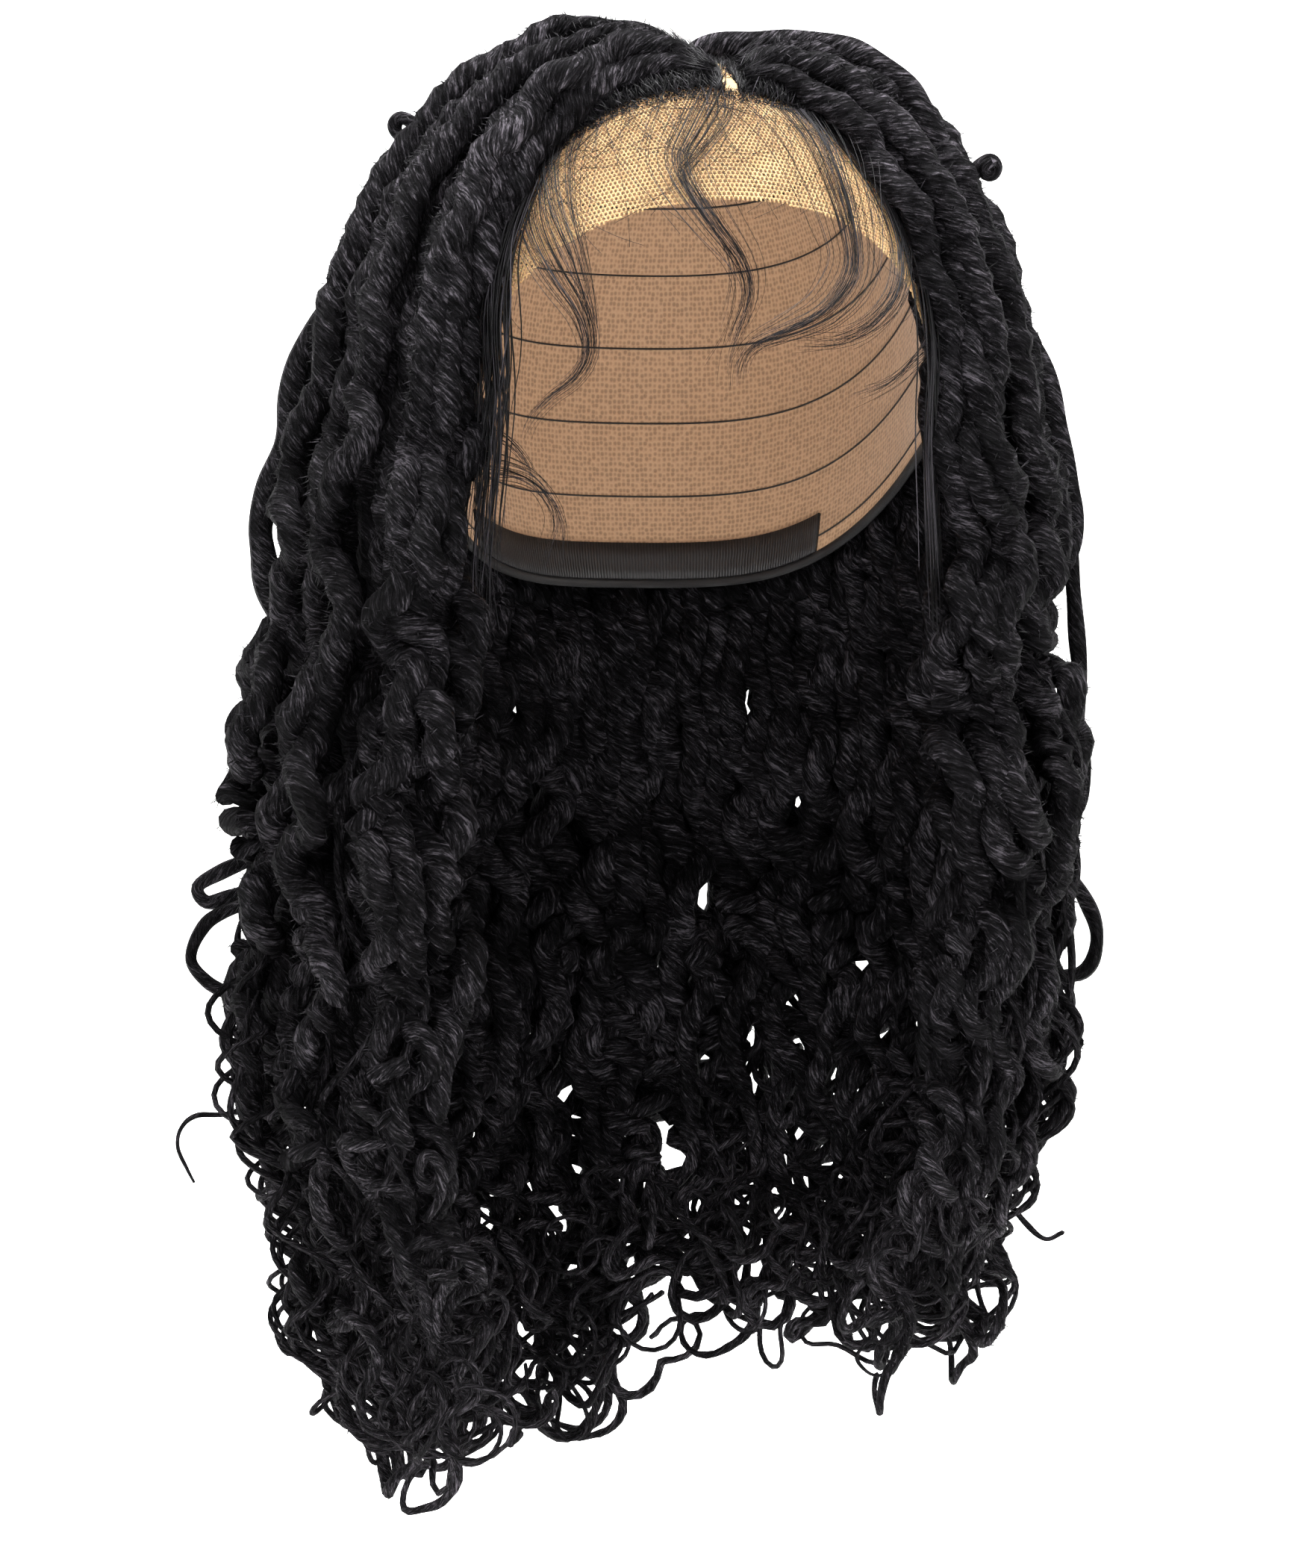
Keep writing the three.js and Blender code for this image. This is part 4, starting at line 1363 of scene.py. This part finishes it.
@dataclass
class BabyHair:
    """The fine hair laid on the forehead, temples and cheeks, drawn 0.24 mm thick so that it shows."""

    radius: float = 0.12
    rings: int = 28
    single_radius: float = 0.08
    singles: int = 190
    single_rings: int = 18

    def swoops(self) -> list[Swoop]:
        """The bundles, each laid on the lace."""
        return [
            Swoop("centre", 34, 14, 1.6, 4.5, [(-0.5, 31.0), (-11.9, 47.1), (-14.7, 54.4), (-8.0, 65.1),
                (-1.3, 73.3), (0.0, 79.1), (-2.5, 84.8), (-4.6, 89.7), (-5.1, 95.5)]),
            Swoop("centre, low", 14, 8, 1.5, 8, [(3.5, 33.0), (0.0, 42.0), (-10.0, 52.0), (-13.9, 57.0),
                (-8.0, 65.5), (-2.0, 74.0), (-3.5, 84.0), (-9.0, 92.0)]),
            Swoop("left brow", 46, 20, 1.9, 1.6, [(30.6, 38.0), (31.0, 47.0), (29.8, 55.8), (29.0, 66.5),
                (26.8, 74.1), (18.2, 81.1), (8.7, 84.8), (1.1, 87.5), (-1.9, 90.9), (-2.2, 94.6)]),
            Swoop("left temple", 40, 14, 2.4, 3.5, [(50.0, 43.0), (50.5, 50.0), (51.4, 58.4), (49.3, 67.5),
                (42.1, 76.3), (30.8, 82.9), (20.7, 86.0), (9.5, 86.8)]),
            Swoop("right, outer", 30, 12, 2.2, 2.2, [(-60.0, 50.0), (-59.0, 57.5), (-53.0, 66.0),
                (-44.2, 74.8), (-37.3, 81.6), (-34.9, 88.0), (-37.9, 92.2), (-43.7, 95.0), (-49.0, 98.5),
                (-51.8, 102.3)]),
            Swoop("right, inner", 28, 10, 1.6, 2.0, [(-53.5, 46.0), (-50.7, 52.5), (-44.6, 62.3),
                (-38.5, 71.2), (-34.8, 79.2), (-33.2, 85.6), (-34.4, 91.7)]),
            Swoop("right cheek, upper", 14, 6, 1.5, 4, [(-80.0, 94.0), (-66.1, 98.7), (-56.2, 102.2),
                (-51.1, 106.0), (-50.0, 110.2)]),
            Swoop("right cheek, lower", 22, 6, 1.6, 6, [(-77.3, 106.0), (-60.5, 106.6), (-50.4, 108.7),
                (-45.2, 112.7), (-43.4, 116.9), (-45.0, 121.7), (-47.3, 126.1)]),
            Swoop("left cheek", 16, 6, 1.4, 4, [(64.0, 76.0), (59.0, 83.0), (46.7, 88.1), (36.6, 92.2),
                (24.8, 95.3)]),
        ]

    def build(self, material: Material) -> None:
        """Makes the bundles, and the single hairs scattered on the lace, as closed thin tubes."""
        surface = Surface()
        numbered = enumerate(self.swoops(), start=1)
        lines = np.concatenate([swoop.lines(self.rings, number) for number, swoop in numbered])
        taper = mix(1.0, 0.35, np.linspace(0, 1, self.rings) ** 2)[None]
        taper = taper * np.full((len(lines), 1), self.radius)
        rng = np.random.default_rng(19)
        tubes(surface, lines, taper, 3, rng.uniform(0, SHIFT, len(lines)))
        single = self.single_hairs()
        radii = np.full(single.shape[:2], self.single_radius)
        tubes(surface, single, radii, 3, rng.uniform(0, SHIFT, len(single)))
        surface.piece("baby_hair", material)

    def single_hairs(self) -> Array:
        """Single hairs from the hairline down, each an arc on the head form whose bend is its own."""
        rng = np.random.default_rng(20)
        count = self.singles
        turn = rng.uniform(-62, 66, count)
        azimuth, drop = (value[:, None] for value in HEAD.hairline(turn, rng.uniform(1, 8, count)))
        t = np.linspace(0, 1, self.single_rings)[None]
        reach = column(rng, 9, 36, count)
        bend = rng.normal(0, 1.3, (count, 1))
        heading = rng.normal(0, 0.45, (count, 1)) - np.radians(turn)[:, None] * 0.35 + bend * t
        step = reach / self.single_rings
        sideways = np.cumsum(np.sin(heading) * step, axis=1)
        down = np.cumsum(np.cos(heading) * step, axis=1)
        a = azimuth + sideways / np.maximum(np.sin(np.radians(drop)), 0.4)
        return HEAD.at(a, drop + down, 1.9 + 0.9 * t * column(rng, 0, 1.5, count))


@dataclass
class RootBand:
    """The dense hairline: a dark strip, short hairs that stand over it, and knots on the lace."""

    hairs: int = 3300
    knots: int = 2600
    lace_offset: float = 1.5
    strip_offset: float = 1.8

    def across(self, azimuth: Array, drop: Array) -> Array:
        """How far points of the hairline lie to the left of the parting."""
        return HEAD.at(azimuth, drop, self.lace_offset)[:, 0] - PARTING_OFFSET

    def strip(self, surface: Surface, first: float, last: float) -> None:
        """A wall from 4 degrees above the hairline to 1 below it, with a lumpy face and a ragged edge.

        Args:
            surface: the mesh in the making.
            first: the turn along the hairline where it starts, in degrees.
            last: where it ends.
        """
        rng = np.random.default_rng(100 + int(first))
        columns, rows = 180, 9
        turn = np.linspace(first, last, columns)
        share = np.linspace(0, 1, rows)[:, None]
        ragged = -0.2 + 1.5 * rng.uniform(0, 1, columns)
        across = self.across(*HEAD.hairline(turn))
        ragged = mix(-3.6, ragged, smooth(np.abs(across), 3, 11))
        beside = mix(-4.0, ragged[None], share)
        azimuth, drop = HEAD.hairline(np.broadcast_to(turn, beside.shape), beside)
        relief = 0.55 * rng.uniform(0, 1, beside.shape) * np.sin(np.pi * share)
        thick = mix(1.0, 0.25, share**2)
        outer = HEAD.at(azimuth, drop, self.strip_offset + thick + relief)
        sheet_wall(surface, outer, HEAD.at(azimuth, drop, self.strip_offset), False)

    def build(self, material: Material) -> None:
        """Makes the piece that stands for the frame's band of roots."""
        surface = Surface()
        self.strip(surface, -81, 0.6)
        self.strip(surface, 8.0, 81)
        rng = np.random.default_rng(6)
        hairs, knots = self.hairs, self.knots
        turn = np.degrees(np.arcsin(rng.uniform(-0.985, 0.985, hairs)))
        beside = rng.uniform(-4, 2.8, hairs) + 3.6 * rng.uniform(0, 1, hairs) ** 3
        across = self.across(*HEAD.hairline(turn, beside))
        turn = turn + np.where(np.abs(across) < 8, np.sign(across) * rng.uniform(1, 9, hairs), 0)
        foot = HEAD.hairline(turn, beside)
        back = rng.uniform(5, 11, hairs) * np.where(beside > 2, 0.45, 1.0)
        head = HEAD.hairline(turn + rng.normal(0, 2.2, hairs) + np.sign(turn) * 2.0, beside - back)
        t = np.linspace(0, 1, 3)[None]
        azimuth, drop = (mix(low[:, None], high[:, None], t) for low, high in zip(foot, head))
        rise = column(rng, 0.3, 4.2, hairs)
        line = HEAD.at(azimuth, drop, self.lace_offset + rise * np.sin(0.5 * np.pi * t) + 0.6)
        tubes(surface, line, mix(0.2, 0.08, t) * np.ones((hairs, 1)), 3, rng.uniform(0, SHIFT, hairs))
        turn = np.degrees(np.arcsin(rng.uniform(-0.97, 0.97, knots)))
        azimuth, drop = HEAD.hairline(turn, 1.5 + 5.5 * rng.uniform(0, 1, knots) ** 1.6)
        foot = HEAD.at(azimuth, drop, 1.0)
        head = HEAD.at(azimuth + rng.normal(0, 0.5, knots), drop + rng.normal(0.3, 0.5, knots), 1.7)
        spikes(surface, foot, head, 0.3, rng.uniform(0, SHIFT, knots))
        surface.piece("hairline_hair", material, ("hairline_roots",))


@dataclass
class TempleHair:
    """Loose straight hair in front of each ear, from the lace to beside the jaw."""

    hairs: int = 90
    rings: int = 30
    azimuth: float = 62.0
    root_drop: float = 66.0
    radii: tuple[float, float] = (0.36, 0.1)

    def build(self, material: Material) -> None:
        """Makes one piece a side: strands that leave the lace together and part a little by their ends."""
        hairs = self.hairs
        for side in Side:
            rng = np.random.default_rng(41 if side is Side.LEFT else 42)
            t = np.linspace(0, 1, self.rings)[None]
            along = 118 * t * column(rng, 0.55, 1.15, hairs) ** 0.8
            root_drop = self.root_drop - column(rng, 0, 16, hairs)
            dome = np.radians(90 - root_drop) * 100
            drop = np.minimum(90, root_drop + np.degrees(along / 100))
            hung = np.maximum(0, along - dome)
            spread = rng.normal(0, 1, (hairs, 1))
            azimuth = self.azimuth + 2.9 * spread + (root_drop - self.root_drop) * 0.12
            lift = np.abs(rng.normal(0, 0.9, (hairs, 1))) * np.minimum(1, 4 * t)
            line = HEAD.at(azimuth + spread * 1.3 * np.sin(1.4 * t), drop, 3.2 + lift)
            wave = 2.6 * np.sin(2.6 * np.pi * t + rng.normal(0, 0.6, (hairs, 1))) * np.sqrt(t)
            line[..., 2] -= hung
            line[..., 1] += 4 * np.sin(np.pi * np.clip(hung / 76, 0, 1.2)) + wave + spread * 1.6 * t
            line[..., 0] += wave * 0.6 + rng.normal(0, 1.0, (hairs, 1)) * t
            line[..., 0] *= side.value
            surface = Surface()
            radii = mix(*self.radii, t**2) * np.ones((hairs, 1))
            tubes(surface, line, radii, 3, rng.uniform(0, SHIFT, hairs))
            nodes = (f"temple_lock_{side.word}",)
            surface.piece(f"temple_hair_{side.word}", material, nodes)


@dataclass
class LaceNet:
    """The lace front and the parting: a net of six-sided holes, knitted in fine thread.

    Real cells are about 1 mm. They are drawn 1.6 mm wide, in thread 0.7 mm wide, so that the net shows.
    """

    pitch: float = 1.62
    lap: float = 12.0
    thread: float = 0.35

    def cells(self, reach: float) -> Array:
        """The threads of a honeycomb round the middle of a plane.

        Args:
            reach: how far it goes from the middle.

        Returns:
            (2, n, 2): where they start and where they end.
        """
        side = self.pitch / math.sqrt(3)
        n = int(reach / self.pitch) + 2
        numbers = np.arange(-n, n + 1)
        i, j = (grid.ravel() for grid in np.meshgrid(numbers, numbers, indexing="ij"))
        centre = np.stack([self.pitch * (i + 0.5 * (j % 2)), 1.5 * side * j], axis=-1)
        angle = np.radians([90, 30, -30, -90])
        corner = centre[:, None] + side * np.stack([np.cos(angle), np.sin(angle)], axis=-1)[None]
        return np.stack([corner[:, :3].reshape(-1, 2), corner[:, 1:].reshape(-1, 2)])

    def rods(self, surface: Surface, start: Array, end: Array, normal: Array) -> None:
        """Adds threads: closed three-sided rods that lie flat on the net, with ends that overlap.

        Args:
            surface: the mesh in the making.
            start: (n, 3) where they start.
            end: (n, 3) where they end.
            normal: (n, 3) the ways that face out.
        """
        way = unit(end - start)
        beside = np.cross(way, normal)
        profile = [(-self.thread, -0.1), (self.thread, -0.1), (0, 0.16)]
        ends = (start - 0.08 * way, end + 0.08 * way)
        points = np.stack([p + u * beside + v * normal for p in ends for u, v in profile], axis=1)
        base = (np.arange(len(start)) * 6)[:, None, None]
        quads = base + np.array([[0, 3, 4, 1], [1, 4, 5, 2], [2, 5, 3, 0]])[None]
        tris = base + np.array([[0, 1, 2], [3, 5, 4]])[None]
        surface.add(points, quads, np.zeros((len(start), 3, 4, 2)), tris, np.zeros((len(start), 2, 3, 2)))

    def on_form(self, plane: Array) -> Array:
        """Unit directions of a plane laid on the head form, with its middle at the brow."""
        middle = HEAD.direction(0.0, 78.0)
        sideways = np.array([[1.0, 0.0, 0.0]])
        up = unit(np.cross(middle, sideways[0]))
        angle = (np.hypot(plane[:, 0], plane[:, 1]) / 88)[:, None]
        bearing = unit(plane)
        level = bearing[:, :1] * sideways + bearing[:, 1:] * up
        return np.cos(angle) * middle + np.sin(angle) * level

    def front(self, material: Material) -> None:
        """Makes the lace front, from just above the hairline to the lace's cut edge."""
        ends = self.cells(150)
        way = self.on_form(ends.mean(axis=0))
        azimuth = np.degrees(np.arctan2(way[:, 0], -way[:, 1]))
        drop = np.degrees(np.arccos(np.clip(way[:, 2], -1, 1)))
        inside = (drop > HEAD.hairline_drop(azimuth) - 3.0) & (drop < HEAD.lace_drop(azimuth))
        ways = [self.on_form(end) for end in ends[:, inside & (np.abs(azimuth) < 77.5)]]
        start, end = (HEAD.shell(way, 0.55) for way in ways)
        surface = Surface()
        self.rods(surface, start, end, unit(HEAD.shell(ways[0], 4.0) - start))
        surface.piece("lace_net", material, ("lace_front",))

    def parting(self, material: Material) -> None:
        """Makes the parting lace: a net over a thin sheet, with a lap in front."""
        ends = self.cells(56)
        x, y = ends.mean(axis=0).T
        half, back = PARTING_WIDTH / 2, PARTING_LENGTH / 2
        ahead = -back - self.lap
        inside = (np.abs(x) < half) & (y < back) & (y > ahead)
        start, end = (self.on_parting(points) for points in ends[:, inside])
        surface = Surface()
        self.rods(surface, start, end, HEAD.outward(start))
        grid = np.meshgrid(np.linspace(half, -half, 7), np.linspace(ahead, back, 60), indexing="ij")
        base = self.on_parting(np.stack([axis.ravel() for axis in grid], axis=-1)).reshape(7, 60, 3)
        out = HEAD.outward(base)
        sheet_wall(surface, base - 0.15 * out, base - 0.8 * out, False)
        surface.piece("parting_net", material, ("parting_lace",))

    def on_parting(self, plane: Array) -> Array:
        """Lays a plane along the parting: its Y is the distance from the parting's middle.

        In front of the parting's start the net runs over the cap's bound edge, and the last third of
        its lap sinks to just above the lace front.

        Args:
            plane: (n, 2) points.

        Returns:
            (n, 3) points.
        """
        behind = plane[:, 1] + PARTING_LENGTH / 2
        sunk = smooth(behind, -self.lap, -self.lap * 2 / 3)
        return HEAD.shell(parting_way(behind, plane[:, 0]), mix(1.0, CAP_WALL + CLEARANCE + 0.9, sunk))


@dataclass
class PartingHair:
    """Short hairs that stand at both edges of the parting and lean out of it. They narrow its front."""

    hairs: int = 1100
    root_radius: float = 0.2

    def build(self, net: LaceNet, material: Material) -> None:
        """Makes one piece: spikes from the parting lace to a point beside their roots.

        Args:
            net: the lace that they stand on.
            material: what they are made of.
        """
        rng = np.random.default_rng(71)
        hairs = self.hairs
        behind = mix(-11.5, 42, rng.uniform(0, 1, hairs) ** 1.5)
        side = rng.choice([-1, 1], hairs)
        inner = mix(2.3, 0.1, smooth(behind, -11, 5))
        across = side * mix(inner, 3.6, rng.uniform(0, 1, hairs) ** 1.4)
        along = behind - PARTING_LENGTH / 2
        foot = net.on_parting(np.stack([across, along], axis=-1))
        across = across + side * rng.uniform(-1.5, 6.0, hairs)
        tip = net.on_parting(np.stack([across, along + rng.uniform(-1.5, 5.0, hairs)], axis=-1))
        out = HEAD.outward(foot)
        tip = tip + out * column(rng, 0.5, 3.2, hairs)
        surface = Surface()
        spikes(surface, foot - 0.3 * out, tip, self.root_radius, rng.uniform(0, SHIFT, hairs))
        surface.piece("parting_hair", material)


@dataclass
class Cap:
    """The stretch-net dome, the wefts sewn inside it, its bound edge and its elastic at the nape."""

    columns: int = 140
    rows: int = 22
    seams: int = 6
    seam_points: int = 90

    def rim(self, count: int) -> tuple[Array, Array]:
        """Azimuths all round, closer together in front, and the edge's drop at each."""
        turn = np.linspace(-90, 90, count // 2, endpoint=False)
        azimuth, drop = HEAD.hairline(turn)
        behind = np.linspace(HEAD.ear_azimuth, 360 - HEAD.ear_azimuth, count - count // 2, endpoint=False)
        return np.concatenate([azimuth % 360, behind]), np.concatenate([drop, HEAD.rim_drop(behind)])

    def build(self, net: Material, lining: Material, tape: Material) -> None:
        """Makes the dome and its lining as closed walls, and the tapes and weft seams.

        Args:
            net: what the dome is made of.
            lining: what lies inside it.
            tape: what the seams, the bound edge and the elastic are made of.
        """
        azimuth, drop = self.rim(self.columns)
        share = np.linspace(0.012, 1, self.rows)[:, None]
        offsets = (CAP_WALL, 0.45, 0.35, 0.0)
        shells = [HEAD.at(azimuth[None], drop[None] * share, offset) for offset in offsets]
        surface = Surface()
        sheet_wall(surface, shells[0], shells[1], True)
        surface.piece("cap_dome", net, ("cap",))
        surface = Surface()
        sheet_wall(surface, shells[2], shells[3], True)
        surface.piece("cap_lining", lining)
        surface = Surface()
        a = np.linspace(84, 276, self.seam_points)
        shares = 0.98 - 0.115 * np.arange(self.seams)[:, None]
        seams = HEAD.at(a, HEAD.rim_drop(a) * shares - 2.0, -0.25)
        tubes(surface, seams, np.full(seams.shape[:2], 0.3), 6)
        azimuth, drop = self.rim(200)
        order = np.argsort(azimuth)
        edge = HEAD.at(azimuth[order], drop[order] - 0.4, 0.6)[None]
        tubes(surface, edge, np.full(edge.shape[:2], 1.5), 8)
        a = np.linspace(128, 232, self.seam_points)
        d = HEAD.rim_drop(a) - np.array([[9.0], [6.0], [3.0], [1.0]])
        sheet_wall(surface, HEAD.at(a, d, -0.15), HEAD.at(a, d, -1.1), False)
        surface.piece("cap_tapes", tape)


# The stage


@dataclass
class Studio:
    """The camera of the photograph, a white floor that turns up far away, and soft lamps."""

    view_turn: float = 11.0
    distance: float = 1.4
    aim_sideways: float = -0.0082
    aim_height: float = -0.224
    focal_pixels: float = 5964.0
    image_height: int = 2100
    floor: float = -0.52

    def camera(self) -> None:
        """Places the camera: level, turned by the photograph's angle, its lens from the focal length."""
        turn = math.radians(self.view_turn)
        right = np.array([math.cos(turn), -math.sin(turn), 0.0])
        ahead = np.array([math.sin(turn), math.cos(turn), 0.0])
        place = self.aim_sideways * right - self.distance * ahead + np.array([0, 0, self.aim_height])
        data = bpy.data.cameras.new("camera")
        data.sensor_fit = "VERTICAL"
        data.sensor_height = 36.0
        data.lens = 36.0 * self.focal_pixels / self.image_height
        made = bpy.data.objects.new("camera", data)
        made.location = place
        made.rotation_euler = (math.radians(90), 0, -turn)
        bpy.context.scene.collection.objects.link(made)
        bpy.context.scene.camera = made

    def lamp(self, name: str, place: tuple, size: float, power: float) -> None:
        """Adds a round soft lamp that looks at the hair's middle.

        Args:
            name: the lamp's name.
            place: where it is, in metres.
            size: how wide it is.
            power: in watts.
        """
        data = bpy.data.lights.new(name, "AREA")
        data.shape = "DISK"
        data.size = size
        data.energy = power
        made = bpy.data.objects.new(name, data)
        made.location = place
        toward = np.array([0, 0, -0.2]) - np.array(place)
        flat = math.hypot(toward[0], toward[1])
        turn = math.atan2(toward[1], toward[0]) - math.pi / 2
        made.rotation_euler = (math.atan2(flat, -toward[2]), 0, turn)
        bpy.context.scene.collection.objects.link(made)

    def backdrop(self) -> None:
        """Makes the floor, round as seen from above, which turns up at its rim."""
        run = np.array([0.001, 0.6, 1.5, 2.6, 3.4, 4.0, 4.3, 4.4, 4.4])[:, None] / METRES
        rise = np.array([0, 0, 0, 0.03, 0.25, 0.85, 1.7, 2.7, 3.6])[:, None] / METRES
        angle = np.linspace(0, 2 * np.pi, 96, endpoint=False)
        level = rise + self.floor / METRES + 0 * angle
        top = np.stack([run * np.cos(angle), run * np.sin(angle), level], axis=-1)
        surface = Surface()
        sheet_wall(surface, top, top - [0, 0, 20], True)
        surface.mesh_object("backdrop", StudioPaper().material())

    def build(self) -> None:
        """Makes floor, lamps, world and camera."""
        self.camera()
        self.backdrop()
        self.lamp("key", (-0.8, -1.6, 1.6), 1.0, 20)
        self.lamp("fill", (1.6, -1.5, 0.3), 1.6, 5)
        self.lamp("top", (0.1, -0.1, 2.0), 1.2, 200)
        self.lamp("back", (0.3, 2.0, 1.0), 1.6, 14)
        world = bpy.data.worlds.new("studio")
        world.use_nodes = True
        world.node_tree.nodes["Background"].inputs["Color"].default_value = (1, 1, 1, 1)
        world.node_tree.nodes["Background"].inputs["Strength"].default_value = 0.25
        bpy.context.scene.world = world
        bpy.context.scene.view_settings.view_transform = "Standard"


def main() -> None:
    """Builds the wig's pieces in order."""
    logging.basicConfig(level=logging.INFO, format="%(name)s %(message)s")
    Studio().build()
    wrapped = WrappedFibre().material()
    loose = LooseFibre().material()
    lace = HairLace().material()
    outside = StretchNet().material()
    inside = StretchNet("tan_lining_net", pit="#86684d", thread="#ab8868").material()
    Cap().build(outside, inside, WovenTape().material())
    hair = LocHair()
    seen = hair.build(wrapped)
    CurledEnds().build(hair, wrapped)
    StrayLocs().build(wrapped)
    Fuzz().build(seen, loose)
    RootTufts().build(seen, loose)
    net = LaceNet()
    net.front(lace)
    net.parting(lace)
    PartingHair().build(net, loose)
    RootBand().build(loose)
    TempleHair().build(loose)
    BabyHair().build(loose)


if __name__ == "__main__":
    main()
